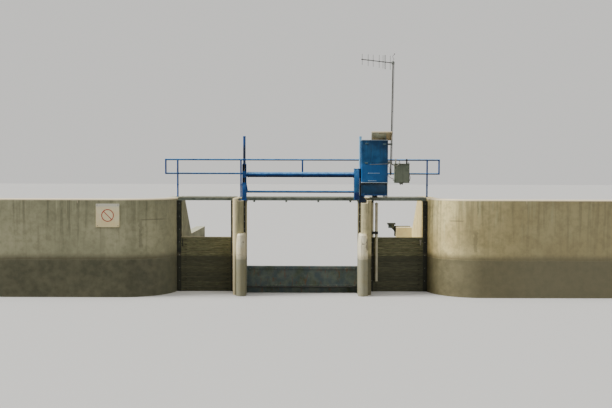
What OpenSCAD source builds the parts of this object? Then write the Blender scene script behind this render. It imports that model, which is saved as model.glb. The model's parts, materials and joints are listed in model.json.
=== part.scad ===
// Canal check structure with a motor-driven overshot sluice gate.
// The frame has +X to the right and +Y downstream, with the canal bed at height 0.

/* [Concrete works] */
// Overall width from end to end of the wing walls
works_w = 16800; // [15000:100:20000]
// Overall length along the canal
works_l = 7300; // [6800:50:8500]
// Height of the wall and pier tops above the canal bed
top_z = 2620; // [2400:10:3200]
// Thickness of the wing walls and abutments
wall_t = 300; // [200:10:400]
// Radius of the rounded corner between wing wall and abutment
corner_r = 1300; // [900:10:1300]
// Distance from the end of the rounded corner to the joint in the wing wall
joint_run = 1150; // [600:10:1500]
// Width of the open joint between two castings
joint_gap = 0.3; // [0.2:0.1:1]
// Chamfer along the top edges of the concrete
chamfer = 20; // [10:1:40]
// Clear width of the gate bay between the piers
gate_bay = 3220; // [2800:20:3600]
// Clear width of each side bay
side_bay = 1614; // [1300:2:1900]
// Level length of the left abutment behind the deck front
left_level = 1270; // [1000:10:1500]
// Level length of the right abutment behind the deck front
right_level = 1750; // [1200:10:2000]
// Length of the falling top of an abutment, measured along the canal
fall_run = 1380; // [1000:10:1700]
// Height of the low tail walls
tail_z = 1410; // [1200:10:1600]
// Height of the cross block on the right tail wall
block_z = 1600; // [1450:10:1800]
// Length of the cross block into the bay
block_w = 500; // [300:10:700]
// Thickness of the cross block
block_t = 250; // [200:10:350]
// Distance from the wing wall face to the cross block
block_setback = 4350; // [4200:10:5000]

/* [Piers] */
// Thickness of a pier
pier_t = 276; // [270:2:400]
// Distance from the wing wall face to the front of the piers
pier_setback = 400; // [300:10:500]
// Height of the hoist ledge cut into the front of the left pier
left_ledge_z = 2560; // [2450:10:2590]
// Height of the hoist ledge cut into the front of the right pier
right_ledge_z = 2500; // [2400:10:2560]
// Width of the hoist ledge on the left pier
left_ledge_w = 130; // [120:5:200]
// Width of the hoist ledge on the right pier
right_ledge_w = 160; // [120:5:200]
// Height of the narrow strip left beside the right ledge
strip_z = 2580; // [2560:5:2610]
// Distance from the gate plane to the back of the hoist ledges
ledge_back = 250; // [180:5:300]
// Width of a nose piece
nose_w = 256; // [220:2:320]
// Distance that a nose stands into the gate bay
nose_in = 88; // [60:2:100]
// Distance that a nose stands in front of its pier
nose_out = 200; // [160:5:260]
// Height of a nose piece
nose_z = 1675; // [1400:5:1900]
// Height over which a nose tapers in
nose_taper_h = 300; // [150:10:400]
// Amount that each side of a nose tapers in
nose_taper = 36; // [20:1:50]
// Height of the eased edge round the top of a nose
nose_ease_h = 40; // [20:5:80]
// Amount that the eased edge draws in at the top
nose_ease = 24; // [10:2:30]

/* [Sluice gate] */
// Distance from the wing wall face to the gate plane
gate_setback = 870; // [800:5:950]
// Height of the gate crest at rest
crest_z = 750; // [650:10:900]
// Height of the gate leaf
leaf_h = 600; // [450:10:600]
// Thickness of the gate leaf
leaf_t = 60; // [50:2:80]
// Thickness of the skin plate and ribs
skin_t = 12; // [8:1:16]
// Number of ribs across the back of the leaf
leaf_ribs = 4; // [3:1:6]
// Width of each end post of the leaf
end_post_w = 90; // [60:2:100]
// Height of the fixed bulkhead behind the leaf
bulkhead_z = 620; // [560:10:700]
// Running clearance between the leaf and what it passes
gate_gap = 10; // [8:1:15]
// Width of a gate guide along the canal
guide_w = 180; // [160:2:200]
// Distance that a gate guide stands out of the pier
guide_out = 40; // [30:2:60]
// Distance that a gate guide is let into the pier
guide_in = 50; // [45:1:60]
// Thickness of the guide plates
guide_t = 10; // [8:1:12]
// Diameter of the rising stems
stem_d = 44; // [36:1:50]
// Height of the stem tops at rest
stem_z = 3750; // [3600:10:3850]
// Height of the foot block of a stem
stem_foot_h = 110; // [80:5:140]
// Side of the square foot block of a stem
stem_foot_w = 48; // [44:1:56]
// Height of the lock nut above a foot block
stem_nut_h = 34; // [20:2:50]

/* [Side bays] */
// Number of stoplogs in each side bay
log_count = 11; // [8:1:12]
// Height of one stoplog
log_h = 138; // [120:1:150]
// Thickness of the stoplogs
log_t = 100; // [80:5:120]
// Distance that a bay guide stands out of the concrete
bay_guide_out = 110; // [90:5:130]
// Play between a stoplog and its guide
log_play = 5; // [3:1:10]
// Gap between the guides and what stands before and behind them
deck_gap = 20; // [10:1:40]

/* [Deck] */
// Distance from the wing wall face to the deck front
deck_setback = 1300; // [1250:10:1350]
// Height of the deck above the walls and piers
deck_rise = 20; // [10:5:60]
// Width of the deck along the canal
deck_w = 800; // [700:10:1000]
// Depth of the deck beams
beam_h = 100; // [80:2:120]
// Flange width of the deck beams
beam_w = 50; // [40:2:60]
// Thickness of the deck steel
beam_t = 7; // [5:1:10]
// Thickness of the deck grating
grating_t = 30; // [20:1:40]
// Pitch of the bars across the grating
bar_pitch = 60; // [50:5:90]
// Pitch of the bars along the grating
rod_pitch = 115; // [80:5:150]
// Width of a grating bar
bar_w = 7; // [5:1:10]
// Leg of the ledger angles under the deck
ledger_leg = 70; // [60:5:90]
// Thickness of the ledger angles
ledger_t = 8; // [5:1:10]
// Clearance between a deck span and the concrete at its ends
deck_play = 5; // [2:1:10]
// Largest distance between the cross bars of a deck frame
cross_step = 800; // [600:50:1000]
// Greatest length of one panel of grating
grating_l = 1100; // [900:50:1300]
// Number of clips under the front edge of the centre span
clip_count = 4; // [2:1:6]
// Width of a clip
clip_w = 56; // [40:2:80]
// Depth of a clip below the beam
clip_h = 45; // [30:5:55]

/* [Handrail] */
// Diameter of the rail pipes
rail_d = 48; // [40:1:60]
// Height of the top rail above the deck
rail_h = 1060; // [900:10:1150]
// Height of the middle rail above the deck
mid_rail_h = 660; // [500:10:750]
// Distance from the rails to the back of the deck
rail_back = 40; // [40:1:60]
// Length of the rails beyond the abutment face
rail_over = 490; // [380:10:600]
// Distance from the abutment face to the post on it
post_in = 120; // [100:5:150]
// Distance from the outer face of a pier to the post on it
pier_post_in = 100; // [80:5:120]
// Thickness of the base plates of the posts
post_plate_t = 10; // [8:1:14]

/* [Hoist] */
// Distance from a stem to the pier face beside it
stem_in = 15; // [5:1:30]
// Width of the lower part of the left column
column_w = 120; // [110:2:150]
// Height of the lower part of the left column
column_h = 470; // [400:5:560]
// Width of the upper part of the left column
head_w = 106; // [90:2:110]
// Height of the upper part of the left column
head_h = 520; // [460:10:600]
// Depth of both parts of the left column
column_d = 160; // [150:5:180]
// Wall thickness of the column
column_t = 8; // [6:1:10]
// Diameter of the guard tube over the cross shaft
guard_d = 144; // [120:2:150]
// Height of the cross shaft
shaft_z = 3270; // [3150:10:3350]
// Diameter of the lower tie tube
tie_d = 60; // [48:1:76]
// Height of the lower tie tube
tie_z = 2800; // [2750:10:2900]
// Length of the shaft hub between the left column and the guard tube
hub_l = 36; // [20:2:60]
// Outer diameter of the stem covers
cover_d = 70; // [64:2:80]
// Height of the stem cover tops
cover_z = 4320; // [4280:10:4500]
// Height of a lift housing
lift_h = 180; // [140:10:220]
// Height of the cap on a stem cover
cap_h = 30; // [15:5:50]
// Clearance round a stem that passes through steel
stem_gap = 8; // [6:1:12]
// Wall thickness of the tubes
tube_t = 6; // [4:1:8]

/* [Drive] */
// Width of the end case of the shaft guard
case_w = 140; // [110:2:160]
// Depth of the end case
case_d = 200; // [190:5:240]
// Height of the bottom of the end case
case_z = 2580; // [2540:10:2640]
// Height of the top of the end case
case_top_z = 3440; // [3380:10:3500]
// Width of the drive hood
hood_w = 720; // [640:10:760]
// Distance from the right stem to the left side of the hood
hood_off = 17; // [10:1:30]
// Depth of the drive hood
hood_d = 600; // [540:10:640]
// Distance from the gate plane to the front of the hood
hood_front = 270; // [200:5:300]
// Height of the bottom of the hood
hood_z = 3050; // [3000:10:3080]
// Height of the top of the hood
hood_top_z = 4220; // [4150:10:4260]
// Radius of the upright corners of the hood
hood_r = 28; // [10:1:40]
// Height of the joint between the upper and lower front panels
hood_joint_z = 3570; // [3500:10:3650]
// Amount that the lid, the lip and the panels stand out of the hood
hood_lip = 5; // [3:1:8]
// Height of the lid and of the lip round the bottom of the hood
lip_h = 28; // [20:2:40]
// Height of the bottom of the base box
base_z = 2700; // [2690:5:2730]
// Width of the base box
base_w = 680; // [600:10:700]
// Inset of the base box from the hood front and back
base_inset = 30; // [20:2:60]
// Width of the bracket on the right pier, along the canal
bracket_w = 200; // [180:10:240]
// Length of the bracket across the right pier
bracket_l = 200; // [180:5:220]
// Height of the outer edge of the bracket
bracket_h = 60; // [40:5:100]
// Width of the foot that carries the base box on the deck beam
foot_w = 125; // [100:5:160]
// Distance from the right pier to the foot
foot_out = 77; // [50:1:120]
// Diameter of the pipe that leads from the hood to the deck
duct_d = 30; // [25:1:40]
// Length of that pipe over the deck
duct_over = 200; // [100:10:300]

/* [Fittings] */
// Width of the solar panel
panel_w = 566; // [500:2:580]
// Slant height of the solar panel
panel_h = 300; // [280:10:360]
// Thickness of the solar panel
panel_t = 35; // [25:1:50]
// Tilt of the solar panel from upright in degrees
panel_tilt = 45; // [35:1:55]
// Distance from the front of the hood to the lower edge of the solar panel
panel_back = 330; // [310:5:360]
// Width of the frame round the panel
panel_rim = 22; // [16:1:30]
// Diameter of the mast
mast_d = 33; // [27:1:42]
// Height of the mast foot
mast_foot_z = 3260; // [3200:10:3400]
// Height of the mast top
mast_z = 6400; // [5800:10:6600]
// Sideways lean of the mast in degrees
mast_lean = 0.9; // [0:0.1:1.5]
// Distance from the hood to the middle of the mast foot
mast_out = 110; // [80:1:120]
// Distance from the gate plane back to the mast
mast_back = 120; // [110:5:150]
// Height of the mast clamps
clamp_z = 50; // [30:5:80]
// Length of the antenna boom
boom_l = 1140; // [1100:10:1300]
// Angle of the boom towards upstream
boom_turn = 37; // [20:1:50]
// Diameter of the boom
boom_d = 22; // [18:1:28]
// Diameter of the antenna elements
element_d = 10; // [6:1:14]
// Length of the longest antenna element
element_l = 390; // [300:10:450]
// Width of the control box
box_w = 422; // [380:2:450]
// Height of the control box
box_h = 550; // [500:10:600]
// Depth of the control box
box_d = 230; // [200:10:260]
// Distance from the abutment face to the far side of the control box
box_in = 849; // [800:1:880]
// Distance from the middle rail down to the bottom of the control box
box_drop = 263; // [240:1:280]
// Amount that the door stands out of the control box
door_t = 14; // [8:1:20]
// Width of the border round the door
door_in = 18; // [12:1:30]
// Size of the square struts behind the control box
strut_w = 41; // [30:1:50]
// Diameter of the flexible conduit between the hood and the control box
conduit_d = 34; // [25:1:40]
// Diameter of the cable between the hood and the control box
cable_d = 16; // [10:1:20]
// Diameter of the antenna cable
coax_d = 12; // [8:1:14]
// Side of the square sign board
sign_w = 620; // [500:10:700]
// Thickness of the sign board
sign_t = 12; // [6:1:20]
// Height of the centre of the sign board
sign_z = 2180; // [1900:10:2250]
// Distance from the centre line to the sign board centre
sign_x = 5150; // [4950:10:5400]
// Diameter of the short stilling pipe
short_pipe_d = 50; // [40:2:60]
// Distance from the right pier to the short stilling pipe
short_pipe_out = 52; // [40:2:70]
// Space between the stilling pipes
pipe_space = 42; // [30:2:60]
// Diameter of the long stilling pipe
long_pipe_d = 80; // [66:2:90]
// Height of the tops of the stilling pipes
pipe_top_z = 2480; // [2430:10:2500]
// Height of the foot of the short stilling pipe
short_pipe_z = 1530; // [1400:10:1600]
// Height of the foot of the long stilling pipe
long_pipe_z = 300; // [200:10:600]
// Height of the lower pipe clamp
pipe_clamp_z = 1620; // [1610:10:1700]
// Height of a pipe clamp
pipe_clamp_h = 70; // [50:5:90]
// Height of the underside of the sensor head
sensor_z = 1560; // [1500:10:1600]
// Reach of the sensor arm from the end of the cross block
sensor_reach = 240; // [150:10:300]

/* [Hidden] */
$fn = 48;
eps = 1;
front_y = -works_l / 2 + sign_t + joint_gap;
rear_y = works_l / 2;
deck_y = front_y + deck_setback;
deck_back_y = deck_y + deck_w;
gate_y = front_y + gate_setback;
pier_y = front_y + pier_setback;
corner_y = front_y + corner_r;
pier_x = gate_bay / 2;
pier_out_x = pier_x + pier_t;
abut_x = pier_out_x + side_bay;
corner_x = abut_x + corner_r;
wing_joint_x = corner_x + joint_run;
stem_x = pier_x - stem_in;
rail_y = deck_back_y - rail_back;
// Downstream face of the slot that holds the stoplogs
log_slot_y = deck_y - deck_gap - guide_t;
still_y = log_slot_y - log_t - 2 * log_play - guide_t - long_pipe_d / 2 - deck_gap;
short_pipe_x = pier_out_x + joint_gap + short_pipe_out + short_pipe_d / 2;
long_pipe_x = short_pipe_x + short_pipe_d / 2 + pipe_space + long_pipe_d / 2;
deck_z = top_z + deck_rise;
beam_z = deck_z - beam_h;
rail_z = deck_z + rail_h;
mid_rail_z = deck_z + mid_rail_h;
post_xs = [pier_out_x - pier_post_in, abut_x + post_in];
centre_span = [deck_play - pier_x, pier_x - deck_play];
right_span = [pier_out_x + deck_play, abut_x - deck_play];
left_span = [-right_span[1], -right_span[0]];
// Half the width of the slot inside a gate guide
slot_half = guide_w / 2 - guide_t;
leaf_x = pier_x + guide_in - guide_t - gate_gap;
// The bulkhead fills the guide slot behind the leaf
bulkhead_y = gate_y + leaf_t / 2 + gate_gap;
bulkhead_t = gate_y + slot_half - joint_gap - bulkhead_y;
leaf_bottom = crest_z - leaf_h;
stem_foot_x = leaf_x - end_post_w / 2;
head_z = left_ledge_z + guide_t + column_h;
head_top_z = head_z + head_h;
// Right side of the end case, just clear of the right stem
case_x = stem_x - stem_d / 2 - stem_gap;
// The hood's left side is recessed round the right stem cover
hood_x = stem_x + hood_off;
base_x = stem_x + stem_d / 2 + stem_gap;
lift_z = shaft_z - lift_h / 2;
hood_y = gate_y - hood_front;
hood_back_y = hood_y + hood_d;
hood_out_x = hood_x + hood_w;
panel_x = hood_out_x + mast_out + mast_d / 2 - panel_w;
panel_y = hood_y + panel_back;
mast_y = gate_y + mast_back;
mast_l = mast_z - mast_foot_z;
box_x = abut_x - box_in;
box_z = mid_rail_z - box_drop;
// Depth of the struts and thickness of the control box lid
strut_t = 26;
lid_t = 8;
// Side of the block that carries the boom
boom_clamp = 76;
box_back_y = rail_y - rail_d / 2 - strut_t;
sensor_y = front_y + block_setback + block_t / 2;
block_x = abut_x - block_w;

// Puts a child made for the right side on either side of the centre line
module on_side(side) {
  if (side < 0) mirror([1, 0, 0]) children();
  else children();
}

// Turns an outline of distance and height into a bar that runs along X
module along_x(length) {
  rotate([90, 0, 90]) linear_extrude(length) children();
}

// A vertical hole with its wall past both ends
module stem_hole(z0, z1, clearance) {
  translate([stem_x, gate_y, z0 - eps]) cylinder(h = z1 - z0 + 2 * eps, d = stem_d + 2 * clearance);
}

module wall_outline() {
  polygon([
    [0, 0], [wall_t, 0], [wall_t, top_z - chamfer], [wall_t - chamfer, top_z],
    [chamfer, top_z], [0, top_z - chamfer]
  ]);
}

module wing_wall(side) {
  wing_l = works_w / 2 - wing_joint_x - joint_gap;
  color("tan") on_side(side)
    translate([wing_joint_x + joint_gap, front_y, 0]) along_x(wing_l) wall_outline();
}

module curved_wall(side) {
  color("tan") on_side(side) {
    translate([corner_x, front_y, 0]) along_x(joint_run) wall_outline();
    translate([corner_x, corner_y, 0]) rotate([0, 0, 180])
      rotate_extrude(angle = 90, $fn = 96) translate([corner_r - wall_t, 0]) wall_outline();
  }
}

// Side wall whose top is level behind the deck and then falls to a low tail
module abutment(side, level) {
  y0 = corner_y + joint_gap;
  fall_y = deck_y + level;
  color("wheat") on_side(side) translate([abut_x, 0, 0]) along_x(wall_t) polygon([
    [y0, 0], [rear_y, 0], [rear_y, tail_z], [fall_y + fall_run, tail_z], [fall_y, top_z], [y0, top_z]
  ]);
}

module cross_block() {
  y0 = front_y + block_setback;
  color("wheat") translate([block_x, 0, 0]) along_x(block_w - joint_gap) polygon([
    [y0, 0], [y0 + block_t, 0], [y0 + block_t, block_z - chamfer], [y0 + block_t - chamfer, block_z],
    [y0 + chamfer, block_z], [y0, block_z - chamfer]
  ]);
}

// Plan of a pier with a half-round front, grown by a margin
module pier_plan(margin = 0) {
  r = pier_t / 2;
  translate([pier_x + r, pier_y + r]) circle(r + margin, $fn = 64);
  translate([pier_x - margin, pier_y + r])
    square([pier_t + 2 * margin, deck_back_y - pier_y - r + margin]);
}

// Pier with a ledge for the hoist cut into its front, and the strip beside the ledge cut lower
module pier(side, ledge_w, ledge_z, side_z) {
  cut_l = gate_y + ledge_back - pier_y + eps;
  color("burlywood") on_side(side) difference() {
    linear_extrude(top_z) pier_plan();
    translate([pier_x - eps, pier_y - eps, ledge_z]) cube([ledge_w + eps, cut_l, top_z - ledge_z + eps]);
    if (side_z < top_z)
      translate([pier_x - eps, pier_y - eps, side_z]) cube([pier_t + 2 * eps, cut_l, top_z - side_z + eps]);
    translate([pier_x - eps, gate_y - guide_w / 2 - joint_gap, -eps])
      cube([guide_in + joint_gap + eps, guide_w + 2 * joint_gap, top_z + 2 * eps]);
  }
}

// Plan of a nose piece, drawn in by an inset
module nose_plan(inset) {
  r = nose_w / 2 - inset;
  x_mid = pier_x - nose_in + nose_w / 2;
  y_mid = pier_y - nose_out + nose_w / 2;
  translate([x_mid, y_mid]) circle(r, $fn = 32);
  translate([x_mid - r, y_mid]) square([2 * r, gate_y - guide_w / 2 - joint_gap - y_mid]);
}

// Streamlined nose that wraps the front and inner side of a pier
module pier_nose(side) {
  straight_z = nose_z - nose_taper_h;
  color("ivory") on_side(side) difference() {
    union() {
      linear_extrude(straight_z) nose_plan(0);
      hull() {
        translate([0, 0, straight_z - eps]) linear_extrude(eps) nose_plan(0);
        translate([0, 0, nose_z - nose_ease_h]) linear_extrude(eps) nose_plan(nose_taper - nose_ease / 2);
        translate([0, 0, nose_z - eps]) linear_extrude(eps) nose_plan(nose_taper + nose_ease / 2);
      }
    }
    translate([0, 0, -eps]) linear_extrude(top_z) pier_plan(joint_gap);
  }
}

// Two guide bars and their back plate, kept apart by a weld gap
module gate_guide(side, ledge_z) {
  x_tip = pier_x - guide_out;
  x_back = pier_x + guide_in;
  color("darkslategray") on_side(side) {
    translate([x_back - guide_t, gate_y - guide_w / 2, 0]) cube([guide_t, guide_w, ledge_z]);
    for (y = [gate_y - guide_w / 2, gate_y + guide_w / 2 - guide_t])
      translate([x_tip, y, 0]) cube([x_back - guide_t - joint_gap - x_tip, guide_t, ledge_z]);
  }
}

module gate_bulkhead() {
  half = pier_x + guide_in - guide_t - joint_gap;
  color("slategray") translate([-half, bulkhead_y, 0]) along_x(2 * half) polygon([
    [0, 0], [bulkhead_t, 0], [bulkhead_t, bulkhead_z], [chamfer, bulkhead_z], [0, bulkhead_z - chamfer]
  ]);
}

// Leaf outline: skin plate, ribs and a rounded crest, as distance and height
module leaf_outline() {
  rib_step = (leaf_h - leaf_t / 2 - skin_t) / (leaf_ribs - 1);
  translate([-leaf_t / 2, leaf_bottom]) square([skin_t, leaf_h - leaf_t / 2]);
  for (i = [0 : leaf_ribs - 2])
    translate([-leaf_t / 2, leaf_bottom + i * rib_step]) square([leaf_t, skin_t]);
  translate([-leaf_t / 2, crest_z - leaf_t]) square([leaf_t, leaf_t / 2]);
  translate([0, crest_z - leaf_t / 2]) circle(leaf_t / 2);
}

module gate_leaf() {
  web_x = leaf_x - end_post_w;
  color("steelblue") translate([0, gate_y, 0]) {
    translate([-web_x, 0, 0]) along_x(2 * web_x) leaf_outline();
    for (side = [-1, 1]) on_side(side)
      translate([web_x, -leaf_t / 2, leaf_bottom]) cube([end_post_w, leaf_t, leaf_h]);
  }
}

// Rising stem that stands on an end post of the leaf, with a foot block and a lock nut
module stem(side) {
  foot_z = crest_z + stem_foot_h;
  color("silver") on_side(side) {
    translate([stem_foot_x - stem_foot_w / 2, gate_y - stem_foot_w / 2, crest_z])
      cube([stem_foot_w, stem_foot_w, stem_foot_h]);
    translate([stem_x, gate_y, foot_z - eps])
      cylinder(h = stem_nut_h + eps, d = stem_foot_w + stem_gap, $fn = 6);
    translate([stem_x, gate_y, foot_z - eps]) cylinder(h = stem_z - foot_z + eps, d = stem_d);
  }
}

// One channel that holds the ends of the stoplogs, open towards +X
module bay_guide() {
  slot = log_t + 2 * log_play;
  y0 = log_slot_y - slot - guide_t;
  translate([0, y0, 0]) cube([guide_t, slot + 2 * guide_t, beam_z]);
  for (y = [y0, log_slot_y])
    translate([guide_t + joint_gap, y, 0])
      cube([bay_guide_out - guide_t - joint_gap, guide_t, beam_z]);
}

module bay_guides() {
  color("darkslategray") for (side = [-1, 1]) on_side(side) {
    translate([pier_out_x + joint_gap, 0, 0]) bay_guide();
    translate([abut_x - joint_gap, 0, 0]) mirror([1, 0, 0]) bay_guide();
  }
}

module log_outline() {
  edge = 8;
  polygon([
    [edge, 0], [log_t - edge, 0], [log_t, edge], [log_t, log_h - edge],
    [log_t - edge, log_h], [edge, log_h], [0, log_h - edge], [0, edge]
  ]);
}

module stoplogs(side) {
  x0 = pier_out_x + guide_t + log_play;
  log_l = side_bay - 2 * guide_t - 2 * log_play;
  color("saddlebrown") on_side(side) for (i = [0 : log_count - 1])
    translate([x0, log_slot_y - log_t - joint_gap, i * (log_h + joint_gap)])
      along_x(log_l) log_outline();
}

// Angle under each end of each deck span, with its level leg on top
module ledger() {
  translate([0, deck_back_y - eps, 0]) rotate([90, 0, 0]) linear_extrude(deck_w - 2 * eps) polygon([
    [0, beam_z], [ledger_leg, beam_z], [ledger_leg, beam_z - ledger_t],
    [ledger_t, beam_z - ledger_t], [ledger_t, beam_z - ledger_leg], [0, beam_z - ledger_leg]
  ]);
}

module deck_ledgers() {
  color("gray") for (side = [-1, 1]) on_side(side) {
    translate([pier_out_x + joint_gap, 0, 0]) ledger();
    translate([pier_x - joint_gap, 0, 0]) mirror([1, 0, 0]) ledger();
    translate([abut_x - joint_gap, 0, 0]) mirror([1, 0, 0]) ledger();
  }
}

// Channel outline with its flanges towards -Y
module channel_outline() {
  polygon([
    [0, 0], [beam_w, 0], [beam_w, beam_h], [0, beam_h], [0, beam_h - beam_t],
    [beam_w - beam_t, beam_h - beam_t], [beam_w - beam_t, beam_t], [0, beam_t]
  ]);
}

// Span of deck from x0 to x1: two channels, two end plates and cross bars
module deck_frame(x0, x1) {
  length = x1 - x0;
  bars = ceil(length / cross_step);
  bar_h = beam_h - grating_t - joint_gap;
  color("dimgray") translate([x0, 0, beam_z]) {
    translate([0, deck_y, 0]) along_x(length) channel_outline();
    translate([0, deck_back_y, 0]) mirror([0, 1, 0]) along_x(length) channel_outline();
    for (i = [0 : bars])
      translate([i * (length - beam_t) / bars, deck_y + beam_w - eps, 0])
        cube([beam_t, deck_w - 2 * beam_w + 2 * eps, bar_h]);
  }
}

// Centre span, with a row of lugs under its front beam
module centre_frame() {
  reach = centre_span[1];
  step = (2 * reach - clip_w) / (clip_count - 0.5);
  deck_frame(-reach, reach);
  color("dimgray") for (i = [0 : clip_count - 1])
    translate([-reach + step * (i + 0.25), deck_y + ledger_t, beam_z - clip_h])
      cube([clip_w, ledger_t, clip_h + eps]);
}

// One panel of bar grating: a plate with a grid of square-cornered holes
module grating_panel(l, w) {
  nx = floor((l - bar_w) / bar_pitch);
  ny = floor((w - bar_w) / rod_pitch);
  px = (l - bar_w) / nx;
  py = (w - bar_w) / ny;
  outer = [[0, 0], [l, 0], [l, w], [0, w]];
  holes = [
    for (i = [0 : nx - 1]) for (j = [0 : ny - 1])
      for (c = [[0, 0], [0, 1], [1, 1], [1, 0]])
        [bar_w + i * px + c[0] * (px - bar_w), bar_w + j * py + c[1] * (py - bar_w)]
  ];
  rings = [for (k = [0 : nx * ny - 1]) [for (m = [0 : 3]) 4 + 4 * k + m]];
  linear_extrude(grating_t) polygon(concat(outer, holes), concat([[0, 1, 2, 3]], rings));
}

// Span of deck grating from x0 to x1 in equal panels
module grating(x0, x1) {
  panels = ceil((x1 - x0) / grating_l);
  l = (x1 - x0 - (panels - 1) * joint_gap) / panels;
  color("lightgray") for (i = [0 : panels - 1])
    translate([x0 + i * (l + joint_gap), deck_y + beam_w + joint_gap, deck_z - grating_t])
      grating_panel(l, deck_w - 2 * beam_w - 2 * joint_gap);
}

// A rail pipe along X between two points, grown by a margin
module rail_pipe(x0, x1, z, margin = 0) {
  translate([x0, rail_y, z]) rotate([0, 90, 0]) cylinder(h = x1 - x0, d = rail_d + 2 * margin);
}

module top_rail() {
  half = abut_x + rail_over;
  color("royalblue") rail_pipe(-half, half, rail_z);
}

module mid_rail() {
  half = abut_x + rail_over - rail_d - joint_gap;
  color("royalblue") difference() {
    rail_pipe(-half, half, mid_rail_z);
    for (side = [-1, 1]) for (x = post_xs)
      translate([side * x, rail_y, mid_rail_z - rail_d])
        cylinder(h = 2 * rail_d, d = rail_d + 2 * joint_gap);
  }
}

module rail_posts() {
  half = abut_x + rail_over;
  color("royalblue") for (side = [-1, 1]) for (x = post_xs) difference() {
    union() {
      translate([side * x - rail_back, rail_y - rail_back, top_z])
        cube([2 * rail_back, 2 * rail_back, post_plate_t]);
      translate([side * x, rail_y, top_z]) cylinder(h = rail_z - top_z, d = rail_d);
    }
    rail_pipe(-half, half, rail_z, joint_gap);
  }
}

// Short uprights at the centre and at both ends of the rails
module rail_uprights() {
  half = abut_x + rail_over;
  color("royalblue") {
    difference() {
      translate([0, rail_y, mid_rail_z]) cylinder(h = rail_z - mid_rail_z, d = rail_d);
      rail_pipe(-half, half, rail_z, joint_gap);
      rail_pipe(-half, half, mid_rail_z, joint_gap);
    }
    for (side = [-1, 1]) difference() {
      translate([side * (half - rail_d / 2), rail_y, mid_rail_z - rail_d / 2])
        cylinder(h = rail_z - mid_rail_z + rail_d / 2, d = rail_d);
      rail_pipe(-half - eps, half + eps, rail_z, joint_gap);
    }
  }
}

// Lower part of the left column: a box section on a base plate, with a gusset over the tie tube
module left_column() {
  z0 = left_ledge_z + guide_t;
  x0 = stem_x - column_w / 2;
  gusset_z = tie_z + tie_d / 2 + joint_gap;
  color("royalblue") on_side(-1) difference() {
    union() {
      translate([pier_x - guide_out, gate_y - guide_w / 2, left_ledge_z])
        cube([left_ledge_w + guide_out - guide_t, guide_w, guide_t]);
      translate([x0, gate_y - column_d / 2, left_ledge_z]) cube([column_w, column_d, head_z - left_ledge_z]);
      translate([0, gate_y + column_t / 2, 0]) rotate([90, 0, 0]) linear_extrude(column_t)
        polygon([[x0 + eps, gusset_z], [x0 - guide_out, gusset_z], [x0 + eps, head_z - column_t]]);
    }
    translate([x0 + column_t, gate_y - column_d / 2 + column_t, z0])
      cube([column_w - 2 * column_t, column_d - 2 * column_t, column_h - column_t]);
    stem_hole(left_ledge_z, head_z, stem_gap);
  }
}

// Upper part of the left column: an upright channel, open upstream
module left_head() {
  color("steelblue") on_side(-1) difference() {
    translate([stem_x - head_w / 2, gate_y - column_d / 2, head_z]) cube([head_w, column_d, head_h]);
    translate([stem_x - head_w / 2 + column_t, gate_y - column_d / 2 - eps, head_z + column_t])
      cube([head_w - 2 * column_t, column_d - column_t + eps, head_h - 2 * column_t]);
    stem_hole(head_z, head_top_z, stem_gap);
  }
}

// Lift nut housing inside the upper part of the column, with the hub that takes the cross shaft
module left_lift() {
  w = head_w - 2 * column_t - 2 * joint_gap;
  d = column_d - 3 * column_t;
  color("darkslategray") {
    on_side(-1) difference() {
      translate([stem_x - w / 2, gate_y - column_d / 2 + 2 * column_t - joint_gap, lift_z])
        cube([w, d, lift_h]);
      stem_hole(lift_z, lift_z + lift_h, 1);
    }
    cross_tube(head_w / 2 - stem_x + joint_gap, head_w / 2 - stem_x + hub_l, shaft_z, guard_d - 3 * tube_t);
  }
}

// Round lift nut housing in the gap between the end case and the hood
module right_lift() {
  color("darkslategray") difference() {
    translate([stem_x, gate_y, lift_z]) cylinder(h = case_top_z - lift_z, r = stem_x - case_x - joint_gap);
    stem_hole(lift_z, case_top_z, 1);
  }
}

// Hollow tube along X in the gate plane
module cross_tube(x0, x1, z, d) {
  translate([x0, gate_y, z]) rotate([0, 90, 0]) difference() {
    cylinder(h = x1 - x0, d = d);
    translate([0, 0, -eps]) cylinder(h = x1 - x0 + 2 * eps, d = d - 2 * tube_t);
  }
}

module shaft_guard() {
  x0 = head_w / 2 - stem_x + hub_l + joint_gap;
  color("royalblue") cross_tube(x0, case_x - case_w - joint_gap, shaft_z, guard_d);
}

module tie_tube() {
  x0 = column_w / 2 - stem_x + joint_gap;
  color("royalblue") cross_tube(x0, case_x - case_w - joint_gap, tie_z, tie_d);
}

// Closed tube over a rising stem, with a cap
module stem_cover(side, z0) {
  color("midnightblue") on_side(side) translate([stem_x, gate_y, z0]) difference() {
    union() {
      cylinder(h = cover_z - z0, d = cover_d);
      translate([0, 0, cover_z - z0 - cap_h]) cylinder(h = cap_h, d = cover_d + tube_t);
    }
    translate([0, 0, -eps]) cylinder(h = cover_z - z0 - tube_t + eps, d = cover_d - 2 * tube_t);
  }
}

module drive_end_case() {
  cap_t = 14;
  color("cornflowerblue") translate([case_x - case_w, gate_y - case_d / 2, case_z]) {
    cube([case_w, case_d, case_top_z - case_z - cap_t]);
    translate([-hood_lip, -hood_lip, case_top_z - case_z - cap_t])
      cube([case_w + hood_lip, case_d + 2 * hood_lip, cap_t]);
  }
}

// Rectangle with rounded corners
module rounded_plan(w, d, r) {
  translate([r, 0]) square([w - 2 * r, d]);
  translate([0, r]) square([w, d - 2 * r]);
  for (x = [r, w - r]) for (y = [r, d - r]) translate([x, y]) circle(r);
}

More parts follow.
